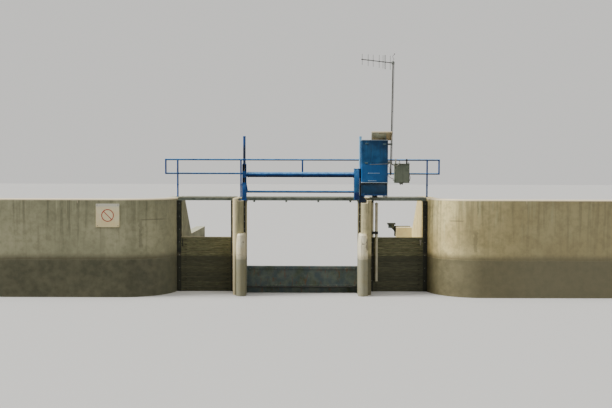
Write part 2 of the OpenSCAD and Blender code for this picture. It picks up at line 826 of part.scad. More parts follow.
// Sheet metal hood over the drive, with a lid, a lower lip and two raised front panels
module drive_hood() {
  inset = hood_r + lip_h;
  color("steelblue") difference() {
    translate([hood_x, hood_y, 0]) {
      translate([0, 0, hood_z]) linear_extrude(hood_top_z - hood_z) rounded_plan(hood_w, hood_d, hood_r);
      for (z = [hood_z, hood_top_z - lip_h])
        translate([-hood_lip, -hood_lip, z]) linear_extrude(lip_h)
          rounded_plan(hood_w + 2 * hood_lip, hood_d + 2 * hood_lip, hood_r + hood_lip);
      for (span = [[hood_z, hood_joint_z], [hood_joint_z, hood_top_z]])
        translate([inset, -hood_lip, span[0] + lip_h / 2 + lip_h])
          cube([hood_w - 2 * inset, hood_lip + eps, span[1] - span[0] - 3 * lip_h]);
    }
    translate([stem_x, gate_y, hood_z - eps])
      cylinder(h = hood_top_z - hood_z + 2 * eps, d = cover_d + 2 * tube_t);
  }
}

module drive_base() {
  d = hood_d - 2 * base_inset;
  color("darkslateblue") translate([base_x, hood_y + base_inset, base_z]) {
    cube([base_w, d, hood_z - base_z - joint_gap]);
    translate([0, -hood_lip, 0]) cube([base_w, d + 2 * hood_lip, lip_h]);
  }
}

// Bracket with a sloping top that carries the drive on the right pier, slotted round the stem
module drive_bracket() {
  x0 = case_x + joint_gap;
  x1 = x0 + bracket_l;
  slot = stem_d + 2 * stem_gap;
  color("midnightblue") difference() {
    translate([0, gate_y + bracket_w / 2, 0]) rotate([90, 0, 0]) linear_extrude(bracket_w) polygon([
      [x0, right_ledge_z], [x1, right_ledge_z], [x1, right_ledge_z + bracket_h],
      [x0 + bracket_l / 2, base_z - joint_gap], [x0, base_z - joint_gap]
    ]);
    stem_hole(right_ledge_z, base_z, stem_gap);
    translate([x0 - eps, gate_y - slot / 2, right_ledge_z - eps])
      cube([stem_x - x0 + eps, slot, base_z - right_ledge_z + 2 * eps]);
  }
}

// Foot under the back of the base box, on the front beam of the deck
module drive_foot() {
  y0 = hood_back_y - base_inset - foot_w;
  color("dimgray") translate([pier_out_x + foot_out, y0, deck_z + joint_gap])
    cube([foot_w, deck_y + beam_w - y0, base_z - deck_z - 2 * joint_gap]);
}

// Pipe from the underside of the hood to an outlet box on the deck
module drive_duct() {
  x = base_x + base_w + duct_d / 2 + joint_gap;
  y = hood_y + 3 * base_inset;
  outlet_h = 1.5 * duct_d;
  z = deck_z + joint_gap + outlet_h / 2;
  end_y = deck_y + duct_over;
  color("silver") {
    cable([[x, y, hood_z - joint_gap], [x, y, z + 4 * duct_d], [x, y + duct_d, z + duct_d],
      [x, y + 4 * duct_d, z], [x, end_y, z]], duct_d, [0, 0, -1], [0, 1, 0], [1, 0, 0]);
    translate([x - duct_d, end_y - eps, deck_z + joint_gap]) cube([2 * duct_d, 3 * duct_d, outlet_h]);
  }
}

// Panel that leans over the hood and faces downstream, framed round two pockets in its back
module solar_panel() {
  bar_x = hood_out_x - panel_x - 2 * panel_rim;
  pocket = panel_t - ledger_t;
  color("rosybrown") translate([panel_x, panel_y, hood_top_z + joint_gap]) rotate([panel_tilt, 0, 0]) {
    difference() {
      cube([panel_w, panel_t, panel_h]);
      for (span = [[panel_rim, bar_x - panel_rim / 2], [bar_x + panel_rim / 2, panel_w - panel_rim]])
        translate([span[0], -eps, panel_rim])
          cube([span[1] - span[0], pocket + eps, panel_h - 2 * panel_rim]);
    }
    translate([bar_x / 2, panel_rim / 2, panel_h - 6 * panel_rim])
      cube([5 * panel_rim, pocket - panel_rim / 2 + eps, 3 * panel_rim]);
  }
}

// Two gusset plates on the hood's lid, under the bars of the panel's frame
module panel_stand() {
  share = 0.8;
  reach = share * panel_h * sin(panel_tilt);
  rise = reach / tan(panel_tilt);
  color("silver") for (x = [panel_x + panel_rim / 4, hood_out_x - 2 * panel_rim - beam_t / 2])
    translate([x, panel_y - joint_gap * 2, hood_top_z + joint_gap]) along_x(beam_t)
      polygon([[0, 0], [-reach, 0], [-reach, rise]]);
}

// Places children on the leaning axis of the mast, with height as Z
module on_mast() {
  translate([hood_out_x + mast_out, mast_y, mast_foot_z]) rotate([0, mast_lean, 0]) children();
}

module antenna_mast() {
  color("lightgray") on_mast() cylinder(h = mast_l, d = mast_d);
}

// Two clamps on the hood's side and one that carries the boom
module mast_clamps() {
  w = 1.4 * mast_d;
  color("gray") difference() {
    union() {
      for (z = [hood_joint_z + lip_h, hood_top_z - 2 * clamp_z - lip_h]) {
        x1 = mast_at(w / 2, 0, z + clamp_z - mast_foot_z)[0];
        translate([hood_out_x + joint_gap, mast_y - w / 2, z])
          cube([x1 - hood_out_x - joint_gap, w, clamp_z]);
      }
      on_boom() translate([-boom_clamp / 2, -w / 2, -boom_clamp / 2]) cube([boom_clamp, w, boom_clamp]);
    }
    on_mast() translate([0, 0, -eps]) cylinder(h = mast_l + 2 * eps, d = mast_d + 2 * joint_gap);
  }
}

// Places children where the boom meets the mast, with the boom as X
module on_boom() {
  on_mast() translate([0, 0, mast_l - clamp_z]) rotate([0, -mast_lean, 0]) rotate([0, 0, 180 + boom_turn])
    children();
}

// Boom with upright elements that grow towards the mast, and the whip on the mast top
module antenna() {
  spots = [0.09, 0.244, 0.326, 0.449, 0.641, 0.80, 0.985];
  shorter = 0.27;
  top = mast_at(0, 0, mast_l + joint_gap);
  color("lightgray") {
    on_boom() {
      translate([boom_clamp / 2 + joint_gap, 0, 0]) rotate([0, 90, 0])
        cylinder(h = boom_l - boom_clamp / 2, d = boom_d);
      for (s = spots) {
        l = element_l * (1 - shorter * s);
        translate([s * boom_l, 0, -l / 2]) cylinder(h = l, d = element_d);
      }
    }
    cable([top, top + [8, 0, 30], top + [24, 0, 60], top + [-12, 0, 125], top + [38, 0, 185]],
      element_d, mast_way, unit([50, 0, 60]), [0, 1, 0]);
    translate(top + [38, 0, 180]) cylinder(h = 3 * element_d, d = 2.4 * element_d, $fn = 16);
  }
}

// Unit vector along v
function unit(v) = v / norm(v);

// A point beside the mast axis, at a height above its foot
function mast_at(x, y, z) = [hood_out_x + mast_out + x + z * tan(mast_lean), mast_y + y, mast_foot_z + z];
mast_way = [sin(mast_lean), 0, cos(mast_lean)];

// Point on the smooth curve through the knots k, where t counts the spans
function on_curve(k, t) =
  let(n = len(k) - 1, i = min(floor(t), n - 1), u = t - i)
  let(a = k[max(i - 1, 0)], b = k[i], c = k[i + 1], d = k[min(i + 2, n)])
  (2 * b + (c - a) * u + (2 * a - 5 * b + 4 * c - d) * u * u + (3 * b - a - 3 * c + d) * u * u * u) / 2;

// A sideways direction carried along a list of tangents without a twist
function carried(ts, n, i = 0) =
  i == len(ts) ? [] : let(m = unit(n - (n * ts[i]) * ts[i])) concat([m], carried(ts, m, i + 1));

// Round cable through a list of knots. It leaves along start and arrives along finish, so that its
// ends are square to the faces they meet, and its first ring is turned towards side.
module cable(knots, d, start, finish, side, steps = 4, sides = 8) {
  last = steps * (len(knots) - 1);
  pts = [for (s = [0 : last]) on_curve(knots, s / steps)];
  ts = [for (i = [0 : last]) i == 0 ? start : i == last ? finish : unit(pts[i + 1] - pts[i - 1])];
  ns = carried(ts, side);
  ring = [
    for (i = [0 : last]) for (j = [0 : sides - 1])
      let(a = 360 * j / sides) pts[i] + d / 2 * (ns[i] * cos(a) + cross(ts[i], ns[i]) * sin(a))
  ];
  walls = [
    for (i = [0 : last - 1]) for (j = [0 : sides - 1])
      let(p = i * sides + j, q = i * sides + (j + 1) % sides)
      for (f = [[p, q + sides, q], [p, p + sides, q + sides]]) f
  ];
  ends = [[for (j = [0 : sides - 1]) j], [for (j = [sides - 1 : -1 : 0]) last * sides + j]];
  polyhedron(ring, concat(walls, ends));
}

// Grey conduit from the hood's side, in front of the mast and over the top of the control box
module box_conduit() {
  top = box_z + box_h + lid_t + joint_gap;
  x = box_x + box_w / 3;
  y = box_back_y - box_d / 2;
  color("gray") cable([
    [hood_out_x + joint_gap, hood_y + 60, 3572], [hood_out_x + 24, hood_y + 61, 3575],
    [hood_out_x + 62, hood_y + 80, 3596], [hood_out_x + 150, hood_y + 290, 3560],
    [hood_out_x + 310, hood_y + 680, 3525],
    [x - 25, y - 250, top - 2], [x - 12, y - 130, top + 35], [x - 4, y - 55, top + 62],
    [x, y - 8, top + 38], [x, y, top + 1]
  ], conduit_d, [1, 0, 0], [0, 0, -1], [0, 0, 1]);
}

// Black cable that hangs from the hood's side to the left side of the control box
module box_cable() {
  y = box_back_y - box_d / 2;
  color("black") cable([
    [hood_out_x + joint_gap, hood_y + 140, 3283], [hood_out_x + 45, hood_y + 185, 3225],
    [hood_out_x + 135, hood_y + 480, 3180], [hood_out_x + 240, hood_y + 880, 3160],
    [box_x - 45, y - 60, 3122], [box_x - 20, y - 4, 3108], [box_x - joint_gap, y, 3104]
  ], cable_d, [1, 0, 0], [1, 0, 0], [0, 0, 1]);
}

// Antenna cable down the mast, with a slack loop before it enters the hood's side
module mast_cable() {
  top = mast_l - clamp_z - boom_clamp / 2 - 1;
  x = mast_d / 2 + coax_d + 3 * eps;
  y = -mast_d / 2 - 3 * coax_d;
  end_x = hood_out_x + joint_gap;
  color("black") cable([
    mast_at(x, 0, top), mast_at(x, 0, top * 2 / 3), mast_at(x, 0, top / 3), mast_at(x, 0, 420),
    mast_at(x, y / 2, 310), mast_at(x - 2, y, 190), mast_at(x - 10, y, 70), mast_at(-4, y, 22),
    mast_at(-28, y, 80), mast_at(-32, y, 180), [end_x + 50, mast_y + y, mast_foot_z + 255],
    [end_x, mast_y + y, mast_foot_z + 262]
  ], coax_d, -mast_way, [-1, 0, 0], [0, 1, 0]);
}

// Control box with a raised door, a rain lid and a gland plate underneath
module control_box() {
  over = 12;
  gland_w = 100;
  color("darkseagreen") translate([box_x, box_back_y - box_d, box_z]) {
    cube([box_w, box_d, box_h]);
    translate([door_in, -door_t, door_in]) cube([box_w - 2 * door_in, door_t + eps, box_h - 3 * door_in]);
    translate([-over / 2, 0, box_h]) along_x(box_w + over) polygon([
      [-door_t - over, -over], [-door_t - over + 2, -over], [-door_t - over + 2, -eps], [box_d, -eps],
      [box_d, lid_t], [-door_t - over, lid_t]
    ]);
    translate([(box_w - gland_w) / 2 - over, box_d / 3, -over * 2])
      cube([gland_w, box_d / 2, over * 2 + eps]);
  }
}

module box_struts() {
  over = 30;
  color("silver") for (x = [box_x + over, box_x + box_w - over - strut_w])
    translate([x, box_back_y + joint_gap, mid_rail_z - 2 * over])
      cube([strut_w, strut_t - 2 * joint_gap, rail_z - mid_rail_z + 3 * over]);
}

module sign_board() {
  color("white") translate([-sign_x - sign_w / 2, front_y - sign_t - joint_gap, sign_z - sign_w / 2])
    cube([sign_w, sign_t, sign_w]);
}

// Two pipes beside the right pier, each with a collar
module stilling_pipes() {
  collar = 10;
  color("gainsboro") {
    translate([short_pipe_x, still_y, short_pipe_z])
      cylinder(h = pipe_top_z - short_pipe_z, d = short_pipe_d);
    translate([short_pipe_x, still_y, short_pipe_z]) cylinder(h = 6 * collar, d = short_pipe_d + collar);
    translate([long_pipe_x, still_y, long_pipe_z]) cylinder(h = pipe_top_z - long_pipe_z, d = long_pipe_d);
    translate([long_pipe_x, still_y, pipe_top_z - 4 * collar])
      cylinder(h = 4 * collar, d = long_pipe_d + collar);
  }
}

// Block that holds both pipes against the pier and the front of the bay guide
module pipe_clamp() {
  rim = 6;
  d = long_pipe_d / 2 + deck_gap - joint_gap;
  color("dimgray") difference() {
    translate([pier_out_x + joint_gap, still_y - long_pipe_d / 2 - rim, pipe_clamp_z])
      cube([long_pipe_x + long_pipe_d / 2 + rim - pier_out_x, d + long_pipe_d / 2 + rim, pipe_clamp_h]);
    for (pipe = [[short_pipe_x, short_pipe_d], [long_pipe_x, long_pipe_d]])
      translate([pipe[0], still_y, pipe_clamp_z - eps])
        cylinder(h = pipe_clamp_h + 2 * eps, d = pipe[1] + 2 * joint_gap);
  }
}

// Downlooking sensor on an arm and a bracket at the end of the cross block
module level_sensor() {
  top_w = 254;
  body_d = 200;
  body_h = 110;
  arm_w = 50;
  x0 = block_x - sensor_reach / 2 - top_w / 2 - arm_w / 2;
  mid_x = x0 + top_w / 2;
  color("slategray") {
    translate([x0, sensor_y - body_d / 2, sensor_z + body_h]) cube([top_w, body_d, arm_w]);
    translate([mid_x, sensor_y, sensor_z]) cylinder(h = body_h + eps, d = body_d);
    translate([mid_x, sensor_y - arm_w / 2, block_z + joint_gap])
      cube([top_w / 2 + sensor_reach * 2, arm_w, arm_w / 2]);
    translate([block_x - joint_gap - arm_w, sensor_y - arm_w / 2, block_z - 6 * arm_w])
      cube([arm_w, arm_w, 6.5 * arm_w]);
    translate([0, sensor_y + arm_w / 8, 0]) rotate([90, 0, 0]) linear_extrude(arm_w / 4) polygon([
      [block_x - arm_w, sensor_z - 2 * arm_w], [block_x - arm_w, sensor_z + arm_w],
      [mid_x, sensor_z + arm_w], [mid_x, sensor_z + eps]
    ]);
  }
}

wing_wall(-1);  // left_wing_wall
wing_wall(1);  // right_wing_wall
curved_wall(-1);  // left_curved_wall
curved_wall(1);  // right_curved_wall
abutment(-1, left_level);  // left_abutment
abutment(1, right_level);  // right_abutment
cross_block();
pier(-1, left_ledge_w, left_ledge_z, top_z);  // left_pier
pier(1, right_ledge_w, right_ledge_z, strip_z);  // right_pier
pier_nose(-1);  // left_pier_nose
pier_nose(1);  // right_pier_nose
gate_guide(-1, left_ledge_z);  // left_gate_guide
gate_guide(1, right_ledge_z);  // right_gate_guide
gate_bulkhead();
bay_guides();
stoplogs(-1);  // left_stoplogs
stoplogs(1);  // right_stoplogs
gate_leaf();
stem(-1);  // left_stem
stem(1);  // right_stem
deck_ledgers();
deck_frame(left_span[0], left_span[1]);  // left_deck_frame
centre_frame();  // centre_deck_frame
deck_frame(right_span[0], right_span[1]);  // right_deck_frame
grating(left_span[0], left_span[1]);  // left_grating
grating(centre_span[0], centre_span[1]);  // centre_grating
grating(right_span[0], right_span[1]);  // right_grating
top_rail();
mid_rail();
rail_posts();
rail_uprights();
left_column();
left_head();
left_lift();
right_lift();
shaft_guard();
tie_tube();
stem_cover(-1, head_top_z);  // left_stem_cover
stem_cover(1, case_top_z);  // right_stem_cover
drive_end_case();
drive_hood();
drive_base();
drive_bracket();
drive_foot();
drive_duct();
box_conduit();
box_cable();
mast_cable();
solar_panel();
panel_stand();
antenna_mast();
mast_clamps();
antenna();
control_box();
box_struts();
sign_board();
stilling_pipes();
pipe_clamp();
level_sensor();
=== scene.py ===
import json
import math

import bpy
import numpy as np
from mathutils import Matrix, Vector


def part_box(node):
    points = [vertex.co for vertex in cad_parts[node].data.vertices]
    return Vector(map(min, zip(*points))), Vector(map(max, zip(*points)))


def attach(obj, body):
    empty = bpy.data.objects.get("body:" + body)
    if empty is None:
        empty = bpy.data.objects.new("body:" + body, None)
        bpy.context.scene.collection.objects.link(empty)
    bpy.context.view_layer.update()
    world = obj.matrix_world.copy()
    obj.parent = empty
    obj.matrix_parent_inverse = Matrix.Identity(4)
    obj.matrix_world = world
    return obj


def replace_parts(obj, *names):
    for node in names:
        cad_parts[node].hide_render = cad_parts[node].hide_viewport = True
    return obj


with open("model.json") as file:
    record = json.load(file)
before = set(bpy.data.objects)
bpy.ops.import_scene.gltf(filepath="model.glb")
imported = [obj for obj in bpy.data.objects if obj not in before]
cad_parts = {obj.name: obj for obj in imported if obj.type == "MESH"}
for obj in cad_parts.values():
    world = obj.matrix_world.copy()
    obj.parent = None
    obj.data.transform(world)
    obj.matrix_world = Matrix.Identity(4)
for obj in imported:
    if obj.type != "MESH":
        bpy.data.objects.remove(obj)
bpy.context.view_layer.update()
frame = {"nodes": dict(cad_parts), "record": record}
nodes = frame["nodes"]
print("frame loaded:", len(nodes), "pieces")


# A shape is (points, four-sided faces, three-sided faces), all as arrays.

def outward(shape):
    # The signed volume, the sum of a . (b x c) over the faces, is negative on a shape that is inside out.
    points, quads, tris = shape
    halves = np.vstack([quads[:, [0, 1, 2]], quads[:, [0, 2, 3]], tris])
    a, b, c = (points[halves[:, k]] - points.mean(0) for k in range(3))
    if np.einsum("ij,ij->i", a, np.cross(b, c)).sum() < 0:
        return points, quads[:, ::-1], tris[:, ::-1]
    return shape


def loft(rings):
    # Rings of points (layer, point, xyz) joined by quads; each end closes in a fan at its ring's middle.
    rings = np.asarray(rings, float)
    layers, count = rings.shape[:2]
    points = np.vstack([rings.reshape(-1, 3), rings[0].mean(0), rings[-1].mean(0)])
    index = np.arange(layers * count).reshape(layers, count)
    index = np.hstack([index, index[:, :1]])
    quads = np.stack([index[:-1, :-1], index[:-1, 1:], index[1:, 1:], index[1:, :-1]], -1).reshape(-1, 4)
    here = np.arange(count)
    after = np.roll(here, -1)
    first = np.stack([np.full(count, layers * count), after, here], 1)
    last = np.stack([np.full(count, layers * count + 1), here, after], 1)
    last[:, 1:] += (layers - 1) * count
    return outward((points, quads, np.vstack([first, last])))


def closedGrid(grid):
    # A grid of points closed both ways, so that its last row and column meet its first.
    index = np.arange(grid.shape[0] * grid.shape[1]).reshape(grid.shape[:2])
    down, across = np.roll(index, -1, 0), np.roll(index, -1, 1)
    quads = np.stack([index, across, np.roll(across, -1, 0), down], -1).reshape(-1, 4)
    return outward((grid.reshape(-1, 3), quads, np.zeros((0, 3), int)))


def join(*shapes):
    # Several shapes as one: each one's face numbers move up by the points before it.
    offsets = np.cumsum([0] + [len(shape[0]) for shape in shapes[:-1]])
    points = np.vstack([shape[0] for shape in shapes])
    return points, *(np.vstack([shape[k] + step for shape, step in zip(shapes, offsets)]) for k in (1, 2))


def move(shape, offset):
    return shape[0] + np.asarray(offset, float), shape[1], shape[2]


def turn(shape, axis, degrees):
    # Every point goes through the rotation matrix about the named axis.
    c, s = math.cos(math.radians(degrees)), math.sin(math.radians(degrees))
    matrix = {"x": [[1, 0, 0], [0, c, -s], [0, s, c]],
              "y": [[c, 0, s], [0, 1, 0], [-s, 0, c]],
              "z": [[c, -s, 0], [s, c, 0], [0, 0, 1]]}[axis]
    return shape[0] @ np.array(matrix).T, shape[1], shape[2]


def copies(shape, offsets):
    # One shape set down at each offset, as whole arrays.
    offsets = np.asarray(offsets, float).reshape(-1, 3)
    steps = np.arange(len(offsets)) * len(shape[0])
    return ((shape[0][None] + offsets[:, None]).reshape(-1, 3),
            (shape[1][None] + steps[:, None, None]).reshape(-1, 4),
            (shape[2][None] + steps[:, None, None]).reshape(-1, 3))


def spots(xs, ys, zs):
    # Every combination of the three lists, as rows of x, y, z; a single number stands for a list of one.
    return np.array(np.meshgrid(xs, ys, zs, indexing="ij"), float).reshape(3, -1).T


def ringAngles(sides):
    return np.arange(sides) * 2 * np.pi / sides


def polar(radius, angle, height):
    # Points at an angle and a radius about Z: x = r cos a, y = r sin a.
    return np.stack(np.broadcast_arrays(radius * np.cos(angle), radius * np.sin(angle), height), -1)


def lathe(profile, sides=20, flats=0):
    # Radius and height pairs turned about Z; with flats, the radius follows a regular polygon.
    angle = ringAngles(sides)
    grow = np.ones(sides)
    if flats:
        part = np.pi / flats
        grow = math.cos(part) / np.cos((angle % (2 * part)) - part)
    radius, height = np.array(profile, float).T[..., None]
    return loft(polar(radius * grow, angle, height))


def ringRound(section, sides=48):
    # A closed section (radius, height) turned about Z: each point goes round a circle of its own radius.
    radius, height = np.array(section, float).T
    return closedGrid(polar(radius, ringAngles(sides)[:, None], height))


def sleeve(inner, outer, tall, ease=0.002, sides=32):
    # A ring whose outer edges draw in over the length ease at both ends.
    return ringRound([(inner, 0), (outer, ease), (outer, tall - ease), (inner, tall)], sides)


def bead(radius, thick=0.004, sides=28):
    # A weld bead round a pipe: a small circle carried round a large one, with a slow ripple in its thickness.
    about, cut = ringAngles(sides)[:, None], ringAngles(6)[None]
    body = thick * (1 + 0.16 * np.sin(about * 9))
    return closedGrid(polar(radius + body * np.cos(cut), about, body * np.sin(cut)))


def sweep(path, outline, flatTo=(0, 0, 1)):
    # An outline (across, up) carried along a path: across is flatTo x tangent, and up is tangent x across.
    path, outline = np.asarray(path, float), np.asarray(outline, float)
    tangent = np.gradient(path, axis=0)
    tangent /= np.linalg.norm(tangent, axis=1)[:, None]
    across = np.cross(np.asarray(flatTo, float), tangent)
    across /= np.linalg.norm(across, axis=1)[:, None]
    up = np.cross(tangent, across)
    if outline.ndim == 2:
        outline = np.repeat(outline[None], len(path), 0)
    return loft(path[:, None] + outline[..., :1] * across[:, None] + outline[..., 1:] * up[:, None])


def circleOutline(radius, sides=12):
    return polar(radius, ringAngles(sides), 0)[:, :2]


def tube(path, radius, sides=12, flatTo=(0, 0, 1)):
    return sweep(path, circleOutline(radius, sides), flatTo)


def ribbedTube(path, radius, rib, depth, sides=14, flatTo=(0, 0, 1)):
    # A tube whose radius rises and falls as a cosine of the length run, one rib on each step.
    run = np.concatenate([[0], np.cumsum(np.linalg.norm(np.diff(path, axis=0), axis=1))])
    at = np.linspace(0, run[-1], int(run[-1] / rib * 4))
    even = np.stack([np.interp(at, run, path[:, k]) for k in range(3)], 1)
    r = radius - depth * (0.5 - 0.5 * np.cos(2 * np.pi * at / rib))
    return sweep(even, circleOutline(1, sides)[None] * r[:, None, None], flatTo)


def threadedRod(radius, depth, pitch, low, high, sides=20, steps=5):
    # Radius over angle and height: flat crest, flat root and a slope between them, one turn on each pitch.
    height = np.linspace(low, high, int((high - low) / pitch * steps) + 1)[:, None]
    angle = ringAngles(sides)[None]
    phase = (height / pitch - angle / (2 * np.pi)) % 1
    r = radius - depth * (1 - np.clip(2.6 * np.abs(2 * phase - 1) - 0.8, 0, 1))
    return loft(polar(r, angle, height))


def smoothPath(knots, count):
    # Catmull-Rom curve through the knots: each span is a cubic whose end slopes point between its neighbours.
    knots = np.asarray(knots, float)
    knots = np.vstack([knots[:1], knots, knots[-1:]])
    at = np.linspace(0, len(knots) - 3 - 1e-9, count)
    span = at.astype(int)
    t = (at - span)[:, None]
    a, b, c, d = (knots[span + k] for k in range(4))
    return 0.5 * (2 * b + (c - a) * t + (2 * a - 5 * b + 4 * c - d) * t ** 2
                  + (3 * b - a - 3 * c + d) * t ** 3)


def roundedOutline(width, depth, radius, steps=2):
    # Four quarter circles of the corner radius, run round from the +X +Y corner.
    quarter = np.linspace(0, np.pi / 2, steps + 1)
    angle = np.concatenate([quarter + k * np.pi / 2 for k in range(4)])
    x = np.repeat([1, -1, -1, 1], steps + 1) * (width / 2 - radius)
    y = np.repeat([1, 1, -1, -1], steps + 1) * (depth / 2 - radius)
    return np.stack([x + radius * np.cos(angle), y + radius * np.sin(angle)], 1)


def block(xs, ys, zs, corner=0.004, edge=0.003):
    # A box between two x, two y and two z values: its upright corners are rounded, and its outline draws in
    # along a quarter circle at top and bottom.
    low, high = np.sort([xs, ys, zs]).T
    size = high - low
    corner = min(corner, size[0] / 2.01, size[1] / 2.01)
    edge = min(edge, size[2] / 2.01, corner * 0.95)
    t = np.linspace(0, np.pi / 2, 3)
    inset = np.concatenate([edge * (1 - np.sin(t)), edge * (1 - np.cos(t))])
    height = np.concatenate([edge * (1 - np.cos(t)), size[2] - edge * (1 - np.sin(t))])
    rings = [np.insert(roundedOutline(size[0] - 2 * i, size[1] - 2 * i, corner - i), 2, h, axis=1)
             for i, h in zip(inset, height)]
    return move(loft(rings), (*(low + high)[:2] / 2, low[2]))


def plate(xs, y, zs, thick, corner=0.0014):
    # A thin plate that stands out to the front from y.
    return block(xs, (y - thick, y), zs, corner, 0.001)


def hexBolt(size, washer=True):
    # Bolt head of the given width across flats, standing on Z = 0: washer, hexagon, chamfered top.
    r, h, t = size / 2, size * 0.62, size * 0.12 * washer
    head = lathe([(r * 1.15, t), (r * 1.15, t + h * 0.8), (r * 0.92, t + h)], 12, 6)
    return join(lathe([(r * 1.6, 0), (r * 1.5, t)], 12), head) if washer else head


facings = {"up": ("x", 0), "front": ("x", 90), "back": ("x", -90), "down": ("x", 180), "right": ("y", 90),
           "left": ("y", -90)}


def face(shape, facing):
    return turn(shape, *facings[facing])


def bolts(facing, size, xs, ys, zs, washer=True):
    # A bolt at every combination of the x, y and z values, with its head to the named side.
    return copies(face(hexBolt(size, washer), facing), spots(xs, ys, zs))


def makePiece(name, shape, material, body="structure", sharp=32):
    # The shape's arrays go straight into a mesh, which rides on its body and takes the given material.
    points, quads, tris = shape
    mesh = bpy.data.meshes.new(name)
    mesh.vertices.add(len(points))
    mesh.vertices.foreach_set("co", np.asarray(points, np.float32).ravel())
    corners = np.concatenate([quads.ravel(), tris.ravel()])
    totals = np.concatenate([np.full(len(quads), 4), np.full(len(tris), 3)])
    mesh.loops.add(len(corners))
    mesh.loops.foreach_set("vertex_index", corners.astype(np.int32))
    mesh.polygons.add(len(totals))
    mesh.polygons.foreach_set("loop_start", np.concatenate([[0], np.cumsum(totals)[:-1]]).astype(np.int32))
    mesh.update(calc_edges=True)
    mesh.validate()
    mesh.shade_smooth()
    mesh.set_sharp_from_angle(angle=math.radians(sharp))
    mesh.materials.append(bpy.data.materials[material])
    made = bpy.data.objects.new(name, mesh)
    bpy.context.scene.collection.objects.link(made)
    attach(made, body)
    return made


def piece(material, body="structure"):
    # Stands over a function that gives a shape, and makes it the piece of the function's name.
    return lambda build: makePiece(build.__name__, build(), material, body)


class given:
    # What a node gives out: sums written with it put down the nodes that do them.
    def __init__(self, socket):
        self.socket = socket
        self.tree = socket.id_data

    def __add__(self, other):
        return maths("ADD", self, other)

    def __sub__(self, other):
        return maths("SUBTRACT", self, other)

    def __rsub__(self, other):
        return maths("SUBTRACT", other, self)

    def __mul__(self, other):
        return maths("MULTIPLY", self, other)

    def __truediv__(self, other):
        return maths("DIVIDE", self, other)

    def __abs__(self):
        return maths("ABSOLUTE", self)


def put(tree, kind, values=None, **settings):
    # One node: settings are its own choices, and values are numbers or other nodes' outputs for its sockets.
    node = tree.nodes.new(kind)
    for key, value in settings.items():
        setattr(node, key, value)
    for key, value in (values or {}).items():
        if isinstance(value, given):
            tree.links.new(value.socket, node.inputs[key])
        else:
            node.inputs[key].default_value = value
    return node


def maths(operation, a, b=0.0):
    tree = a.tree if isinstance(a, given) else b.tree
    return given(put(tree, "ShaderNodeMath", {0: a, 1: b}, operation=operation).outputs[0])


def vectorMaths(operation, a, b, output=0):
    # The dot product's number comes out of output 1.
    return given(put(a.tree, "ShaderNodeVectorMath", {0: a, 1: b}, operation=operation).outputs[output])


def remap(value, low, high, toLow=0.0, toHigh=1.0):
    values = {0: value, 1: low, 2: high, 3: toLow, 4: toHigh}
    return given(put(value.tree, "ShaderNodeMapRange", values, interpolation_type="SMOOTHSTEP").outputs[0])


def blend(mask, a, b):
    # Socket 0 is the mask and sockets 6 and 7 are the two colours of a colour mix.
    return given(put(mask.tree, "ShaderNodeMix", {0: mask, 6: a, 7: b}, data_type="RGBA").outputs[2])


def noise(at, scale, detail=5.0, rough=0.5, distortion=0.0):
    values = {"Vector": at, "Scale": scale, "Detail": detail, "Roughness": rough, "Distortion": distortion}
    return given(put(at.tree, "ShaderNodeTexNoise", values).outputs[0])


def cells(at, scale, output):
    return given(put(at.tree, "ShaderNodeTexVoronoi", {"Vector": at, "Scale": scale},
                     feature="F1").outputs[output])


def axes(vector):
    return [given(socket) for socket in put(vector.tree, "ShaderNodeSeparateXYZ", {0: vector}).outputs]


def normal(at):
    return given(put(at.tree, "ShaderNodeNewGeometry").outputs["Normal"])


def effect(*outputs, **inputs):
    # Stands over a function and makes it a shader node group: its inputs are at, then the named ones.
    def make(build):
        group = bpy.data.node_groups.new(build.__name__, "ShaderNodeTree")
        group.interface.new_socket("at", in_out="INPUT", socket_type="NodeSocketVector")
        for name, value in inputs.items():
            kind = "NodeSocketFloat" if isinstance(value, float) else "NodeSocketVector"
            group.interface.new_socket(name, in_out="INPUT", socket_type=kind).default_value = value
        for name in outputs:
            group.interface.new_socket(name, in_out="OUTPUT", socket_type="NodeSocketFloat")
        inside = group.nodes.new("NodeGroupInput").outputs
        out = group.nodes.new("NodeGroupOutput").inputs
        results = build(*[given(inside[name]) for name in ("at", *inputs)])
        for name, result in zip(outputs, results):
            group.links.new(result.socket, out[name])

        def place(at, **values):
            made = put(at.tree, "ShaderNodeGroup", {"at": at, **values}, node_tree=group).outputs
            return given(made[0]) if len(outputs) == 1 else [given(socket) for socket in made]
        return place
    return make


waterLevel = 1.0  # height of the upstream water that stains the works


@effect("mask", stretch=(1, 1, 1), scale=2.0, rough=0.55, low=0.4, high=0.6)
def softPatches(at, stretch, scale, rough, low, high):
    # Noise on stretched coordinates, cut between low and high into soft patches.
    return [remap(noise(vectorMaths("MULTIPLY", at, stretch), scale, 6.0, rough), low, high)]


@effect("mask", scale=9.0, top=2.6, length=2.0, low=0.5, high=0.7)
def runStreaks(at, scale, top, length, low, high):
    # Noise squeezed along Z into runs, strongest at top and gone one length below it.
    runs = remap(noise(vectorMaths("MULTIPLY", at, (1.0, 1.0, 0.045)), scale, 4.0, 0.62), low, high)
    return [runs * remap((top - axes(at)[2]) / length, 1.0, 0.0)]


@effect("mask", "edge", radius=0.006, scale=30.0, low=0.4, high=0.6)
def edgeWearAndRimLight(at, radius, scale, low, high):
    # Where the rounded normal leaves the true one there is an edge; noise breaks it up.
    rounded = given(put(at.tree, "ShaderNodeBevel", {"Radius": radius}, samples=6).outputs[0])
    edge = remap(vectorMaths("DOT_PRODUCT", rounded, normal(at), 1), 0.995, 0.86)
    return edge * remap(noise(at, scale), low, high), edge


